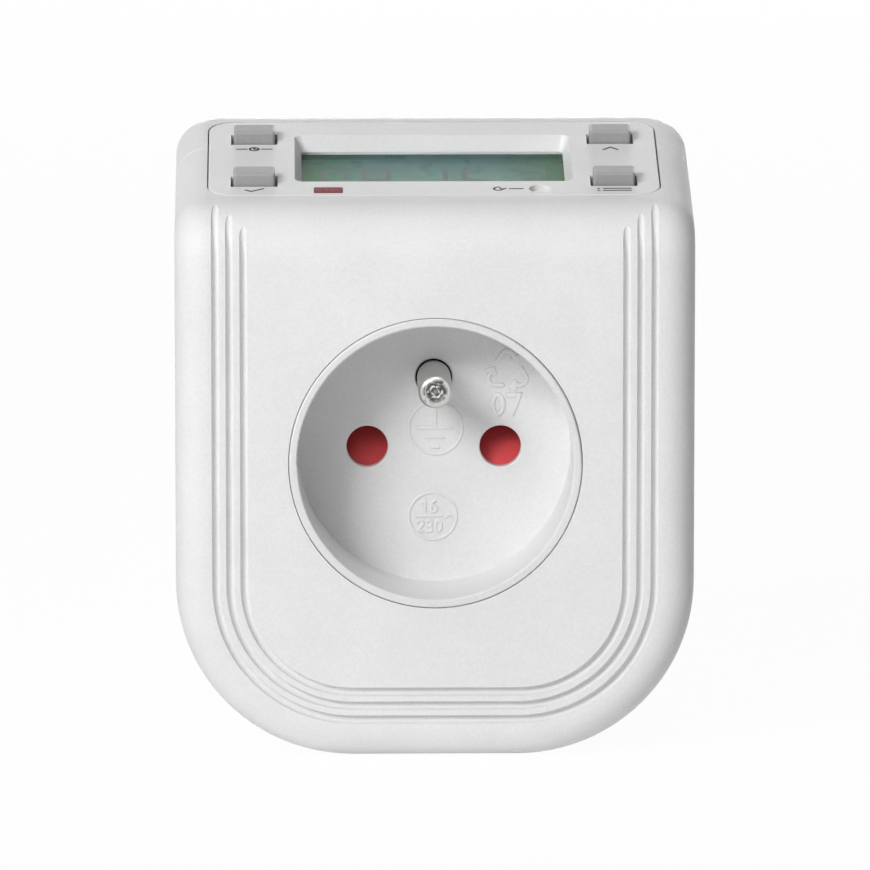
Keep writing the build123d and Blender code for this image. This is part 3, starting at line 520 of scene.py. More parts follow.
@dataclass(frozen=True)
class DisplayGlass:
    """Liquid crystal cell: a teal polariser, green at both ends, with fine electrode rows."""

    name: str
    middle: Colour
    ends: Colour
    half_width: float
    depths: Pair
    tint_span: Pair = (0.55, 1.0)
    painted_rear_shadow: Colour = (0.22, 0.40, 0.46)
    shade_span: Pair = (0.35, 1.0)
    row_pitch: float = 0.0006
    row_depth: float = 0.000004
    roughness: float = 0.3
    gloss_reach: float = 0.05
    specular: float = 0.03
    mottle_size: float = 0.003
    mottle_reach: float = 0.18

    def material(self) -> Material:
        """The tint follows the distance from the middle along X, mottled by noise. A painted
        shadow of the window's rear wall darkens the glass towards the rear.

        Returns:
            The material.
        """
        graph = MaterialGraph(self.name)
        distance = graph.calculated("ABSOLUTE", graph.coordinate("X"))
        share = graph.ranged(distance, (0.0, self.half_width))
        mottle = graph.noise(self.mottle_size, Detail.RICH)
        mottled = graph.calculated("MULTIPLY_ADD", mottle, self.mottle_reach, share)
        tint = graph.ramp(mottled, (self.middle, self.ends), self.tint_span)
        # Painted shadow: the glass darkens towards the window's rear wall.
        depth = graph.ranged(graph.coordinate("Y"), self.depths)
        shade = graph.ramp(depth, (WHITE, self.painted_rear_shadow), self.shade_span)
        gloss = graph.noise(self.mottle_size)
        return graph.surface({
            "Base Color": graph.multiplied(tint, shade),
            "Roughness": graph.spread(gloss, self.roughness, self.gloss_reach),
            "Specular IOR Level": self.specular,
            "Normal": graph.bump(graph.waves("Y", self.row_pitch), self.row_depth),
        })


@dataclass(frozen=True)
class WovenLaminate:
    """Lacquered glass-fibre board: a crossed weave under a tinted lacquer."""

    name: str
    colour: Colour
    tones: Pair = (0.85, 1.2)
    weave_pitch: float = 0.0008
    weave_depth: float = 0.000008
    roughness: float = 0.35
    gloss_size: float = 0.004
    gloss_reach: float = 0.06

    def material(self) -> Material:
        """Two wave patterns across each other make the weave.

        Returns:
            The material.
        """
        graph = MaterialGraph(self.name)
        threads = [graph.waves(axis, self.weave_pitch) for axis in ("X", "Y")]
        weave = graph.calculated("MULTIPLY", *threads)
        tones = [tinted(self.colour, tone) for tone in self.tones]
        gloss = graph.noise(self.gloss_size)
        return graph.surface({
            "Base Color": graph.ramp(weave, tones, FULL_SPAN),
            "Roughness": graph.spread(gloss, self.roughness, self.gloss_reach),
            "Normal": graph.bump(weave, self.weave_depth),
        })


@dataclass(frozen=True)
class PrintedInk:
    """Pad-printed ink: a thin, slightly uneven film."""

    name: str
    colour: Colour
    roughness: float = 0.55
    gloss_reach: float = 0.08
    specular: float = 0.3
    film_size: float = 0.00025
    film_reach: float = 0.35
    film_span: Pair = (0.45, 0.75)
    film_depth: float = 0.000004

    def material(self) -> Material:
        """Fine noise thins the film in spots.

        Returns:
            The material.
        """
        graph = MaterialGraph(self.name)
        film = graph.noise(self.film_size, Detail.FINE)
        tones = (self.colour, tinted(self.colour, 1.0 + self.film_reach))
        return graph.surface({
            "Base Color": graph.ramp(film, tones, self.film_span),
            "Roughness": graph.spread(film, self.roughness, self.gloss_reach),
            "Specular IOR Level": self.specular,
            "Normal": graph.bump(film, self.film_depth),
        })


@lru_cache(maxsize=None)
def material_of(finish: Finish) -> Material:
    """Make each finish's material once, and hand out the same one after that."""
    return finish.material()


HOUSING_WHITE = MouldedPlastic("housing_white", (0.81, 0.81, 0.81), specular=0.25)
INSERT_WHITE = MouldedPlastic("insert_white", (0.77, 0.77, 0.77), 0.42, grain_depth=0.000006)
PANEL_WHITE = MouldedPlastic("panel_white", (0.82, 0.82, 0.82), 0.45)
KEY_GREY = MouldedPlastic(
    "key_grey", (0.35, 0.35, 0.35), 0.38, grain_size=0.0005, grain_depth=0.000005
)
SHUTTER_RED = MouldedPlastic(
    "shutter_red", (0.88, 0.095, 0.105), 0.35, grain_depth=0.000005, specular=0.3
)
LAMP_RED = MouldedPlastic(
    "lamp_red", (0.25, 0.032, 0.042), 0.3, grain_depth=0.000004, specular=0.06
)
SIGN_BLACK = PrintedInk("sign_black", (0.025, 0.025, 0.027))
SEGMENT_GREY = PrintedInk("segment_grey", (0.036, 0.040, 0.044), film_reach=0.2)
SCREW_ZINC = PlatedMetal("screw_zinc", (0.58, 0.58, 0.60), 0.34)
DISPLAY_TEAL = DisplayGlass(
    name="display_teal",
    middle=(0.074, 0.137, 0.116),
    ends=(0.014, 0.090, 0.028),
    half_width=0.0198,
    depths=(-0.0455, -0.0305),
)
# The earth pin's end carries painted reflections, and its root painted shade where it enters the
# floor.
EARTH_NICKEL = TurnedPin("earth_pin_nickel", axis=(0.0, 0.010), root=(-0.0447, -0.0452))

FINISHES: dict[Slot, Finish] = {
    Slot.WHITE_PLASTIC: HOUSING_WHITE,
    Slot.KEY_PLASTIC: KEY_GREY,
    Slot.SHUTTER_PLASTIC: SHUTTER_RED,
    Slot.LAMP_PLASTIC: LAMP_RED,
    Slot.NICKEL: PlatedMetal("pin_nickel", (0.62, 0.61, 0.59), 0.4),
    Slot.CONTACT_BRASS: PlatedMetal("brass_strip", (0.72, 0.53, 0.25), 0.3),
    Slot.SCREW_STEEL: SCREW_ZINC,
    Slot.CARRIER_PLASTIC: MouldedPlastic("carrier_black", (0.06, 0.06, 0.065), 0.5),
    Slot.CLEAR_PLASTIC: ClearPlastic("lens_clear", (0.94, 0.96, 0.95)),
    Slot.DISPLAY: DISPLAY_TEAL,
    Slot.CONNECTOR_RUBBER: MouldedPlastic("rubber_grey", (0.18, 0.18, 0.20), 0.7),
    Slot.BOARD_LAMINATE: WovenLaminate("board_green", (0.03, 0.14, 0.07)),
    Slot.BLACK_PLASTIC: MouldedPlastic("case_black", (0.03, 0.03, 0.03), 0.4),
    Slot.YELLOW_PLASTIC: MouldedPlastic("case_yellow", (0.72, 0.50, 0.06), 0.35),
    Slot.BLUE_PLASTIC: MouldedPlastic("coating_blue", (0.05, 0.15, 0.45), 0.35),
    Slot.BROWN_PLASTIC: MouldedPlastic("coating_brown", (0.20, 0.09, 0.04), 0.35),
    Slot.GREY_CABLE: MouldedPlastic("cable_grey", (0.35, 0.35, 0.36), 0.4),
}

NODE_FINISHES: dict[str, Finish] = {
    "socket_insert": INSERT_WHITE,
    "control_panel": PANEL_WHITE,
    "earth_pin": EARTH_NICKEL,
}


@dataclass(frozen=True)
class SignFace:
    """Flat face that carries signs: a point on it and its three directions."""

    origin: Array
    across: Array
    up: Array
    outward: Array

    def place(self, local: Array) -> Array:
        """Carry rows of millimetres across, up and out of the face to metres in the frame."""
        return self.origin + MM * (local @ np.array([self.across, self.up, self.outward]))


def corner_points(frame: dict, node: str) -> Array:
    """Vertices of a CAD node as rows of X, Y and Z.

    Args:
        frame: The loaded frame.
        node: Name of the CAD node.

    Returns:
        The rows.
    """
    vertices = frame["nodes"][node].data.vertices
    points = np.empty(len(vertices) * 3, np.float32)
    vertices.foreach_get("co", points)
    return points.reshape(-1, 3).astype(float)


def sloping_face(frame: dict, node: str) -> SignFace:
    """Top of a node that lies along the sloping panel.

    Its outward direction is the keys' press axis reversed, its level the node's outermost point.

    Args:
        frame: The loaded frame.
        node: Name of the CAD node.

    Returns:
        The face, with its origin in the middle of the node's length.
    """
    joint = next(joint for joint in frame["joints"] if joint["child"] == "clock_key")
    outward = -np.array(joint["axis"], float)
    up = np.cross(outward, X_AXIS)
    points = corner_points(frame, node)
    along = points @ up
    middle = (along.min() + along.max()) / 2
    return SignFace(middle * up + (points @ outward).max() * outward, X_AXIS, up, outward)


@dataclass(frozen=True)
class Stroke:
    """Line of a sign: points in millimetres on its face, and whether the line closes."""

    path: Array
    closed: bool = False

    def moved(self, right: float, up: float, scale: float = 1.0) -> "Stroke":
        """The same line, scaled about the face's origin and then moved."""
        return Stroke(self.path * scale + np.array([right, up]), self.closed)


def line(*points: Pair) -> Stroke:
    """Straight runs through the given points."""
    return Stroke(np.array(points, float))


def level(span: Pair, row: float = 0.0) -> Stroke:
    """Level line over a span, at a height."""
    return line((span[0], row), (span[1], row))


def upright(column: float, span: Pair) -> Stroke:
    """Upright line over a span of heights."""
    return line((column, span[0]), (column, span[1]))


def on_circle(turn: Array | float) -> Array:
    """Points of the unit circle at turns in radians."""
    return np.stack((np.cos(turn), np.sin(turn)), axis=-1)


def arc(centre: Pair, radii: Pair, turns: Pair, count: int = 17) -> Stroke:
    """Part of an ellipse: the centre plus the radii times cosine and sine of the turn.

    Args:
        centre: Middle of the ellipse.
        radii: Half its width and half its height.
        turns: First and last turn in degrees, counted from the right.
        count: Number of points.

    Returns:
        The open line.
    """
    return Stroke(np.array(centre) + on_circle(np.radians(np.linspace(*turns, count))) * radii)


def ring(centre: Pair, radius: float, count: int = 64) -> Stroke:
    """Full circle, whose last point joins its first."""
    turn = np.linspace(0.0, math.tau, count, endpoint=False)
    return Stroke(np.array(centre) + radius * on_circle(turn), True)


def grid_quads(count: int, width: int, closed: bool) -> Array:
    """Faces between the rows of a grid whose rows close on themselves.

    Args:
        count: Number of rows.
        width: Number of points in a row.
        closed: Whether the last row joins the first.

    Returns:
        Rows of four point numbers.
    """
    along = np.arange(count if closed else count - 1)[:, None] * width
    side = np.arange(width)[None, :]
    beyond = (along + width) % (count * width)
    after = (side + 1) % width
    quads = np.stack((along + side, beyond + side, beyond + after, along + after), axis=2)
    return quads.reshape(-1, 4)


@dataclass(frozen=True)
class Pen:
    """Cross-section of a sign's lines: a low crown with steep sides, sunk a little."""

    half_width: float
    height: float
    sink: float = 0.01
    crown: float = 0.35
    profile_points: int = 9
    cap_points: int = 6

    def swept(self, stroke: Stroke) -> tuple[Array, Array]:
        """Carry the crown along a line.

        At turn t of the profile, a point lies the half width times cos(t) beside the line and
        the height times sin(t) to the crown's power above the face. Corners are mitred: the
        sideways vector is the sum of both runs' normals, divided by one plus their product.
        Open ends are round, with the section shrunk by the sine of the cap's turn.

        Args:
            stroke: Line to follow.

        Returns:
            Rows of points on the face, and rows of four point numbers for the faces.
        """
        path, scale = stroke.path, np.ones(len(stroke.path))
        if not stroke.closed:
            turn = np.linspace(0.0, math.pi / 2, self.cap_points)[:-1, None]
            first, last = path[1] - path[0], path[-1] - path[-2]
            reach = self.half_width * np.cos(turn)
            head = path[0] - reach * first / np.linalg.norm(first)
            tail = path[-1] + reach[::-1] * last / np.linalg.norm(last)
            path = np.vstack((head, path, tail))
            cap = np.sin(turn[:, 0])
            scale = np.concatenate((cap, scale, cap[::-1]))
        run = np.roll(path, -1, axis=0) - path
        if not stroke.closed:
            run[-1] = run[-2]
        run = run / np.linalg.norm(run, axis=1, keepdims=True)
        normal = np.column_stack((-run[:, 1], run[:, 0]))
        before = np.roll(normal, 1, axis=0)
        if not stroke.closed:
            before[0] = normal[0]
        product = np.sum(normal * before, axis=1, keepdims=True)
        sideways = (normal + before) / (1.0 + product)
        profile = np.linspace(0.0, math.pi, self.profile_points)
        reach = self.half_width * scale[:, None] * np.cos(profile)
        crown = np.abs(np.sin(profile)) ** self.crown
        lift = (self.height + self.sink) * scale[:, None] * crown - self.sink
        flat = path[:, None, :] + sideways[:, None, :] * reach[:, :, None]
        points = np.concatenate((flat, lift[:, :, None]), axis=2).reshape(-1, 3)
        return points, grid_quads(len(path), self.profile_points, stroke.closed)


def placed(name: str, data: bpy.types.ID) -> Piece:
    """Make a new object in the scene, at the origin.

    Args:
        name: Name of the object.
        data: Its mesh, light or camera.

    Returns:
        The new object.
    """
    item = bpy.data.objects.new(name, data)
    bpy.context.scene.collection.objects.link(item)
    return item


def mesh_piece(name: str, points: Array, quads: Array) -> Piece:
    """Make one smooth object of points and faces, with poles closed and faces outward.

    Args:
        name: Name of the object.
        points: Rows of X, Y and Z in metres.
        quads: Rows of four point numbers.

    Returns:
        The new object.
    """
    mesh = bpy.data.meshes.new(name)
    mesh.from_pydata(points.tolist(), [], quads.tolist())
    work = bmesh.new()
    work.from_mesh(mesh)
    bmesh.ops.remove_doubles(work, verts=work.verts, dist=MERGE_DISTANCE)
    bmesh.ops.recalc_face_normals(work, faces=work.faces)
    work.to_mesh(mesh)
    work.free()
    mesh.polygons.foreach_set("use_smooth", np.ones(len(mesh.polygons), bool))
    return placed(name, mesh)


def sign_piece(name: str, strokes: Sequence[Stroke], pen: Pen, face: SignFace) -> Piece:
    """Make one object of all lines of a sign, with its place in its mesh.

    Args:
        name: Name of the object.
        strokes: Lines of the sign.
        pen: Cross-section of the lines.
        face: Face that carries the sign.

    Returns:
        The new object.
    """
    swept = [pen.swept(stroke) for stroke in strokes]
    starts = np.cumsum([0] + [len(points) for points, _ in swept])
    points = face.place(np.vstack([points for points, _ in swept]))
    quads = np.vstack([quads + start for (_, quads), start in zip(swept, starts)])
    return mesh_piece(name, points, quads)


def attach(piece: Piece, finish: Finish, body: str) -> None:
    """Give a new piece its finish and the body that it rides on, and report it.

    Args:
        piece: The new piece.
        finish: Its surface finish.
        body: Name of the CAD body.
    """
    piece.data.materials.append(material_of(finish))
    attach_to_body(piece, body)
    log.info("%s rides on %s with %d faces", piece.name, body, len(piece.data.polygons))


# Digits stand on the origin, 1 wide and 1.6 high.
DIGIT_HEIGHT = 1.6
DIGIT_PITCH = 1.3
DIGIT_MARGIN = 0.15
FULL_TURN: Pair = (90.0, 450.0)
OVAL_POINTS = 33
DIGITS: dict[str, tuple[Stroke, ...]] = {
    "0": (arc((0.5, 0.8), (0.42, 0.8), FULL_TURN, OVAL_POINTS),),
    "1": (line((0.15, 1.25), (0.55, 1.6), (0.55, 0.0)),),
    "2": (
        arc((0.5, 1.15), (0.42, 0.45), (165.0, -40.0)),
        line((0.82, 0.86), (0.05, 0.0), (0.95, 0.0)),
    ),
    "3": (
        arc((0.48, 1.2), (0.38, 0.4), (150.0, -90.0)),
        arc((0.48, 0.4), (0.45, 0.4), (90.0, -150.0)),
    ),
    "6": (
        arc((0.5, 0.48), (0.42, 0.48), FULL_TURN, OVAL_POINTS),
        arc((0.95, 0.48), (0.87, 1.12), (180.0, 105.0)),
    ),
    "7": (line((0.05, 1.6), (0.95, 1.6), (0.35, 0.0)),),
}


def number(text: str, middle: Pair, height: float) -> list[Stroke]:
    """Plain number in single lines.

    Args:
        text: Its digits.
        middle: Middle of the number on its face.
        height: Height of a digit.

    Returns:
        The lines of all digits.
    """
    scale = height / DIGIT_HEIGHT
    pitch = DIGIT_PITCH * scale
    start = middle[0] - pitch * len(text) / 2 + DIGIT_MARGIN * scale
    base = middle[1] - height / 2
    return [
        stroke.moved(start + index * pitch, base, scale)
        for index, digit in enumerate(text)
        for stroke in DIGITS[digit]
    ]


@dataclass
class Outlet:
    """Reliefs on the outlet's floor: earth sign, rating in plain numbers and material sign."""

    frame: dict
    clear_radius: float = 15.0
    earth_centre: Pair = (0.25, 2.65)
    earth_radius: float = 3.8
    earth_bars: tuple[float, ...] = (4.85, 2.3, 1.0)
    earth_pitch: float = 1.4
    rating_centre: Pair = (-0.15, -10.1)
    rating_radius: float = 3.4
    rating_digit: float = 1.6
    rating_row: float = 1.45
    number_shift: float = 0.5
    bar_span: Pair = (-2.45, 1.225)
    wave_middle: float = 2.1
    wave_reach: float = 0.5
    wave_rise: float = 0.2
    wave_points: int = 17
    triangle_centre: Pair = (10.5, 10.75)
    triangle_reach: float = 2.1
    triangle_turns: tuple[float, ...] = (90.0, 210.0, 330.0)
    bend_radius: float = 0.9
    bend_half: float = 60.0
    bend_points: int = 13
    side_run: float = 1.15
    barb: float = 0.5
    material_centre: Pair = (10.3, 6.0)
    material_digit: float = 2.8
    relief: Pen = Pen(0.21, 0.15, crown=0.55)
    bold_relief: Pen = Pen(0.34, 0.2, crown=0.5)

    def face(self) -> SignFace:
        """Floor of the outlet: the foremost level of the insert inside the clear radius.

        Returns:
            The floor, with its origin on the outlet's axis.
        """
        points = corner_points(self.frame, "socket_insert")
        inside = np.hypot(points[:, 0], points[:, 2]) < self.clear_radius * MM
        return SignFace(points[inside, 1].min() * Y_AXIS, X_AXIS, Z_AXIS, -Y_AXIS)

    def earth_sign(self) -> list[Stroke]:
        """Three bars under a stem, inside a ring.

        Returns:
            The lines.
        """
        x, z = self.earth_centre
        bars = [
            level((x - width / 2, x + width / 2), z - row * self.earth_pitch)
            for row, width in enumerate(self.earth_bars)
        ]
        stem = upright(x, (z, z + self.earth_radius))
        return [ring(self.earth_centre, self.earth_radius), stem, *bars]

    def rating_sign(self) -> list[Stroke]:
        """Two rows of numbers with a bar between them and a small wave beside it, in a ring.

        Returns:
            The lines.
        """
        x, z = self.rating_centre
        span = np.linspace(-1.0, 1.0, self.wave_points)
        across = x + self.wave_middle + self.wave_reach * span
        column = x - self.number_shift
        return [
            ring(self.rating_centre, self.rating_radius),
            level(tuple(x + end for end in self.bar_span), z),
            Stroke(np.column_stack((across, z + self.wave_rise * np.sin(math.pi * span)))),
            *number("16", (column, z + self.rating_row), self.rating_digit),
            *number("230", (column, z - self.rating_row), self.rating_digit),
        ]

    def material_sign(self) -> list[Stroke]:
        """Triangle of three bent arrows above a plain number.

        Each arrow runs along half a side, round its corner on an arc and along half the next
        side. Its barbs run back from its tip, half a right angle to either side.

        Returns:
            The lines.
        """
        arrows = []
        for turn in self.triangle_turns:
            first, last = turn + self.bend_half, turn - self.bend_half
            centre = self.triangle_reach * on_circle(math.radians(turn))
            radii = (self.bend_radius, self.bend_radius)
            bend = arc(centre, radii, (first, last), self.bend_points).path
            start = on_circle(math.radians(first - RIGHT_ANGLE))
            ahead = on_circle(math.radians(last - RIGHT_ANGLE))
            aside = on_circle(math.radians(last))
            tip = bend[-1] + self.side_run * ahead
            left, right = (tip - self.barb * (ahead + side * aside) for side in (1, -1))
            shaft = Stroke(np.vstack((bend[0] - self.side_run * start, bend, tip)))
            head = Stroke(np.vstack((left, tip, right)))
            arrows += [stroke.moved(*self.triangle_centre) for stroke in (shaft, head)]
        return [*arrows, *number("07", self.material_centre, self.material_digit)]

    def build(self) -> None:
        """Make the three reliefs on the floor."""
        face = self.face()
        reliefs = {
            "earth_relief": (self.earth_sign(), self.relief),
            "rating_relief": (self.rating_sign(), self.relief),
            "material_relief": (self.material_sign(), self.bold_relief),
        }
        for name, (strokes, pen) in reliefs.items():
            piece = sign_piece(name, strokes, pen, face)
            attach(piece, INSERT_WHITE, "housing")


@dataclass
class ControlPanel:
    """Small black signs printed on the sloping panel, beside the keys and the reset hole."""

    frame: dict
    front_gap: float = 1.75
    rear_gap: float = 2.2
    reset_gap: float = 4.6
    key_rise: float = 0.5
    ring_radius: float = 0.625
    ring_points: int = 32
    clock_hands: tuple[Pair, ...] = ((0.0, 0.36), (0.0, 0.0), (0.26, -0.12))
    clock_dash: Pair = (1.1, 2.5)
    tick: tuple[Pair, ...] = ((-1.2, 0.05), (-0.45, -0.5), (1.3, 0.55))
    arrow_head: tuple[Pair, ...] = ((-1.0, -0.45), (0.0, 0.5), (1.0, -0.45))
    list_rows: Pair = (-0.4, 0.4)
    list_dot: Pair = (-2.3, -2.15)
    list_bar: Pair = (-1.5, 2.3)
    turn_middle: float = -1.4
    turn_span: Pair = (70.0, 360.0)
    turn_points: int = 25
    turn_barb: float = 0.4
    turn_rows: Pair = (0.1, -0.2)
    reset_dash: Pair = (0.2, 2.0)
    pen: Pen = Pen(0.18, 0.012, 0.004)

    def key_middle(self, face: SignFace, node: str) -> Pair:
        """Middle of a key and the place of its front edge.

        Args:
            face: The panel's face.
            node: Name of the key's node.

        Returns:
            Millimetres across to its middle and up to its front edge.
        """
        points = (corner_points(self.frame, node) - face.origin) / MM
        top = points[points @ face.outward > self.key_rise]
        across, along = top @ face.across, top @ face.up
        return (across.min() + across.max()) / 2, along.min()

    def clock_sign(self) -> list[Stroke]:
        """Clock face with two hands between two dashes."""
        dashes = [level(tuple(side * end for end in self.clock_dash)) for side in (-1, 1)]
        return [ring((0, 0), self.ring_radius, self.ring_points), line(*self.clock_hands), *dashes]

    def program_sign(self) -> list[Stroke]:
        """List of two rows, each a dot and a bar."""
        spans = (self.list_dot, self.list_bar)
        return [level(span, row) for span in spans for row in self.list_rows]

    def reset_sign(self) -> list[Stroke]:
        """Turning arrow with a dash that points to the hole.

        Returns:
            The lines.
        """
        radii = (self.ring_radius, self.ring_radius)
        turn = arc((self.turn_middle, 0.0), radii, self.turn_span, self.turn_points)
        right = self.turn_middle + self.ring_radius
        high, low = self.turn_rows
        head = line((right - self.turn_barb, high), (right, low), (right + self.turn_barb, high))
        return [turn, head, level(self.reset_dash)]

    def build(self) -> None:
        """Print each sign in front of its key, and the reset sign beside its hole."""
        face = sloping_face(self.frame, "control_panel")
        signs = {
            "clock_button": (self.clock_sign(), self.rear_gap),
            "set_button": ([line(*self.tick)], self.front_gap),
            "up_button": ([line(*self.arrow_head)], self.rear_gap),
            "program_button": (self.program_sign(), self.front_gap),
        }
        printed = {}
        for node, (strokes, gap) in signs.items():
            across, front = self.key_middle(face, node)
            name = node.replace("button", "sign")
            printed[name] = [stroke.moved(across, front - gap) for stroke in strokes]
        button = corner_points(self.frame, "reset_button")
        hole = (button - face.origin).mean(axis=0) / MM
        beside = (hole @ face.across - self.reset_gap, hole @ face.up)
        printed["reset_sign"] = [stroke.moved(*beside) for stroke in self.reset_sign()]
        for name, strokes in printed.items():
            piece = sign_piece(name, strokes, self.pen, face)
            attach(piece, SIGN_BLACK, "housing")


# Lit bars of each digit, by the usual letters of a seven-bar display.
LIT_BARS = {"0": "abcdef", "1": "bc", "3": "abcdg", "5": "acdfg", "8": "abcdefg"}


@dataclass
class Display:
    """Faint segments of the liquid crystal display, just above its glass."""

    frame: dict
    digit_middles: tuple[float, ...] = (-14.0, -8.0, 0.2, 6.3, 14.2)
    digit_bottom: float = -5.0
    digit_height: float = 8.1
    digit_width: float = 3.4
    colon_span: Pair = (-3.9, -3.8)
    colon_rows: Pair = (-2.4, 0.6)
    segment_gap: float = 0.45
    shown: str = "08153"
    pen: Pen = Pen(0.36, 0.006, 0.002)

    def segments(self, digit: str, middle: float) -> list[Stroke]:
        """Lit bars of one seven-bar digit.

        Args:
            digit: Digit to show.
            middle: Its middle across the display.

        Returns:
            One line for each lit bar.
        """
        left, right = middle - self.digit_width / 2, middle + self.digit_width / 2
        low, gap = self.digit_bottom, self.segment_gap
        half, top = low + self.digit_height / 2, low + self.digit_height
        width = (left + gap, right - gap)
        lower, upper = (low + gap, half - gap), (half + gap, top - gap)
        bars = {
            "a": level(width, top),
            "b": upright(right, upper),
            "c": upright(right, lower),
            "d": level(width, low),
            "e": upright(left, lower),
            "f": upright(left, upper),
            "g": level(width, half),
        }
        return [bars[name] for name in LIT_BARS[digit]]

    def build(self) -> None:
        """Make the lit segments as one piece on the glass."""
        strokes = []
        for digit, middle in zip(self.shown, self.digit_middles):
            strokes += self.segments(digit, middle)
        strokes += [level(self.colon_span, row) for row in self.colon_rows]
        face = sloping_face(self.frame, "display_glass")
        piece = sign_piece("display_segments", strokes, self.pen, face)
        attach(piece, SEGMENT_GREY, "housing")


@dataclass
class ShutterSpring:
    """Coil spring under the shutter, which shortens as the shutter goes down."""

    frame: dict
    node: str = "shutter_spring"
    joint: str = "shutter_slide"
    wire_radius: float = 0.00025
    turns: int = 6
    turn_points: int = 40
    wire_points: int = 12
    end_gap: float = 0.00003

    def surface(self, low: Array, high: Array) -> tuple[Array, Array]:
        """Carry the wire's circle along a helix.

        At turn t the wire's middle lies the coil's radius out from the axis and rises in
        proportion to t. Its circle stands on the outward direction and on the cross product of
        the helix's run and that direction. The first and last circle shrink to a point.

        Args:
            low: Lowest corner of the spring's box.
            high: Highest corner of the box.

        Returns:
            Rows of points, and rows of four point numbers for the faces.
        """
        radius = (high[0] - low[0]) / 2 - self.wire_radius
        rise = high[2] - low[2] - 2 * (self.wire_radius + self.end_gap)
        turn = np.linspace(0.0, math.tau * self.turns, self.turns * self.turn_points + 1)
        flat = np.zeros_like(turn)
        climb = np.column_stack((flat, flat, rise * turn / turn[-1]))
        outward = np.column_stack((np.cos(turn), np.sin(turn), flat))
        sideways = np.column_stack((-radius * np.sin(turn), radius * np.cos(turn)))
        run = np.column_stack((sideways, flat + rise / turn[-1]))
        run = run / np.linalg.norm(run, axis=1, keepdims=True)
        foot = np.append((low + high)[:2] / 2, low[2] + self.wire_radius + self.end_gap)
        middle = foot + radius * outward + climb
        scale = np.pad(np.full(len(turn), self.wire_radius), 1)[:, None, None]
        middle, outward, run = (
            np.pad(rows, ((1, 1), (0, 0)), "edge")[:, None, :] for rows in (middle, outward, run)
        )
        around = np.linspace(0.0, math.tau, self.wire_points, endpoint=False)[None, :, None]
        circle = np.cos(around) * outward + np.sin(around) * np.cross(run, outward)
        points = (middle + scale * circle).reshape(-1, 3)
        return points, grid_quads(len(turn) + 2, self.wire_points, False)

    def build(self) -> None:
        """Make the spring in the place of its node, hide the node and give the spring a mesh of
        its own.
        """
        corners = corner_points(self.frame, self.node)
        low, high = corners.min(axis=0), corners.max(axis=0)
        piece = mesh_piece("shutter_coil", *self.surface(low, high))
        attach(piece, SCREW_ZINC, "housing")
        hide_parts(self.node)
        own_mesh(piece)


@dataclass
class Dressing:
    """Finishes of the CAD nodes, each by its node's name or else by the record's slot."""

    frame: dict

    def dress(self) -> None:
        """Assign each node's finish to its material slots, and report it."""
        for part in self.frame["record"]["subparts"]:
            node = self.frame["nodes"][part["node"]]
            finish = NODE_FINISHES.get(part["node"], FINISHES[Slot(part["material_slot"])])
            material = material_of(finish)
            if not node.material_slots:
                node.data.materials.append(material)
            for place in node.material_slots:
                place.material = material
            log.info("%s is finished as %s", node.name, material.name)


@dataclass(frozen=True)
class Lamp:
    """Square softbox: where it stands, its side and its power."""

    name: str
    place: Place
    side: float
    power: float

    def build(self, target: Vector) -> None:
        """Stand the lamp at its place and turn it to the target.

        Args:
            target: Point that the lamp faces.
        """
        data = bpy.data.lights.new(self.name, "AREA")
        data.size = self.side
        data.energy = self.power
        lamp = placed(self.name, data)
        lamp.location = self.place
        lamp.rotation_euler = (target - lamp.location).to_track_quat("-Z", "Y").to_euler()


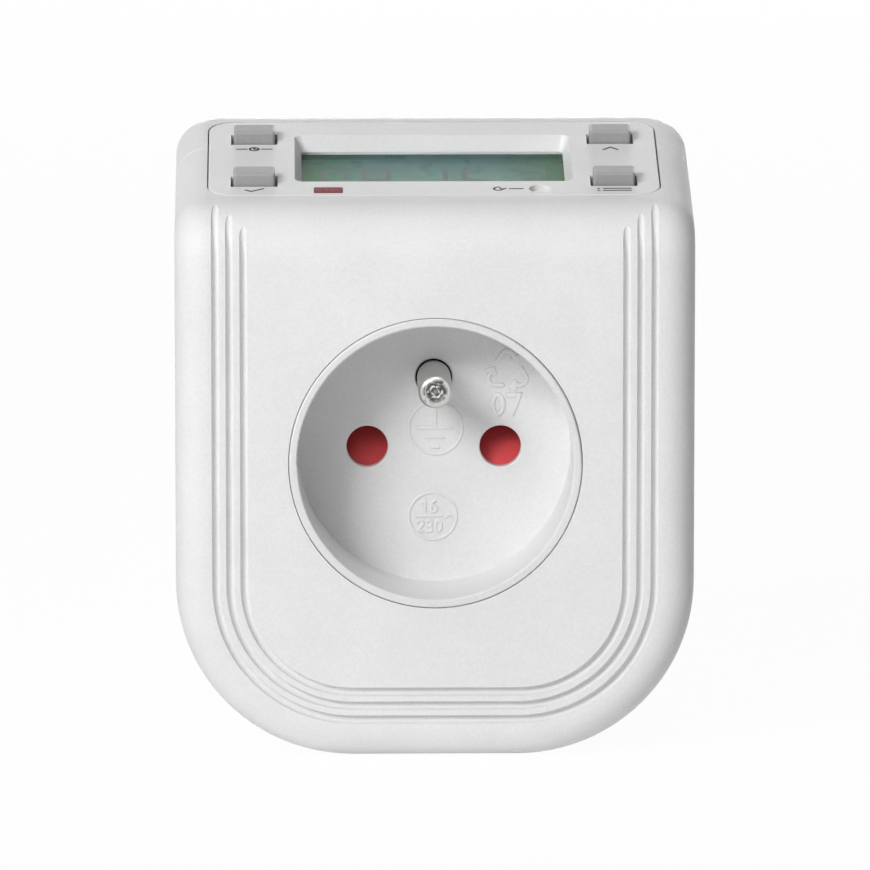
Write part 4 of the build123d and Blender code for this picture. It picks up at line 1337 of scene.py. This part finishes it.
@dataclass
class Studio:
    """White studio: floor, surrounding light, lamps and the camera of the photograph."""

    floor_side: float = 8.0
    floor_share: float = 0.965
    surround: float = 0.06
    lamps: tuple[Lamp, ...] = (
        Lamp("key_lamp", (-0.72, -1.05, 0.66), 0.5, 12.2),
        Lamp("front_lamp", (-0.45, -1.25, 0.75), 0.5, 2.9),
        Lamp("top_lamp", (0.1, -0.55, 1.35), 0.5, 3.0),
        Lamp("back_lamp", (0.1, 1.4, 0.18), 0.8, 12.0),
    )
    lens: float = 377.0
    sensor: float = 36.0
    distance: float = 1.285
    elevation: float = 9.4
    azimuth: float = -1.0
    aim: Place = (-0.00008, -0.060, 0.0041)

    def build_floor(self, height: float) -> None:
        """Lay a white sheet under the object, part of it glowing so that it reads as white.

        Args:
            height: Height of the floor.
        """
        half = self.floor_side / 2
        sides = ((-half, -half), (half, -half), (half, half), (-half, half))
        mesh = bpy.data.meshes.new("floor")
        mesh.from_pydata([(*corner, height) for corner in sides], [], [(0, 1, 2, 3)])
        floor = placed("floor", mesh)
        graph = MaterialGraph("floor_white")
        matt = graph.add("ShaderNodeBsdfDiffuse", {"Color": opaque(WHITE)})
        glow = graph.add("ShaderNodeEmission", {"Color": opaque(WHITE)})
        white = graph.mixed(graph.seen_rays(self.floor_share), matt, glow)
        mesh.materials.append(graph.finish(white))
        floor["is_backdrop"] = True

    def build_surround(self) -> None:
        """Even light from all around, which the camera sees as white."""
        graph = NodeGraph(bpy.data.worlds.new("studio"), "ShaderNodeOutputWorld")
        lighting, seen = (
            graph.add("ShaderNodeBackground", {"Color": opaque(WHITE), "Strength": strength})
            for strength in (self.surround, 1.0)
        )
        white = graph.mixed(graph.seen_rays(1.0), lighting, seen)
        bpy.context.scene.world = graph.finish(white)

    def build_camera(self) -> None:
        """Stand the camera on a sphere round its aim, at the photograph's distance and angles."""
        turn, rise = math.radians(self.azimuth), math.radians(self.elevation)
        flat = math.cos(rise)
        back = Vector((math.sin(turn) * flat, -math.cos(turn) * flat, math.sin(rise)))
        data = bpy.data.cameras.new("camera")
        data.lens = self.lens
        data.sensor_width = self.sensor
        data.clip_end = 2.0 * self.floor_side
        camera = placed("camera", data)
        camera.location = Vector(self.aim) + self.distance * back
        camera.rotation_euler = back.to_track_quat("Z", "Y").to_euler()
        bpy.context.scene.camera = camera

    def build(self, lowest: float) -> None:
        """Set up floor, light and camera.

        Args:
            lowest: Height of the object's lowest point.
        """
        self.build_floor(lowest)
        self.build_surround()
        for lamp in self.lamps:
            lamp.build(Vector(self.aim))
        self.build_camera()
        bpy.context.scene.view_settings.view_transform = "Standard"


def main() -> None:
    """Load the frame, dress it, add the signs, the spring and the studio."""
    logging.basicConfig(level=logging.INFO, format="%(message)s")
    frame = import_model()
    cad_box = [list(corner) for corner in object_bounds()]
    Dressing(frame).dress()
    Outlet(frame).build()
    ControlPanel(frame).build()
    Display(frame).build()
    ShutterSpring(frame).build()
    Studio().build(cad_box[0][2])


if __name__ == "__main__":
    main()
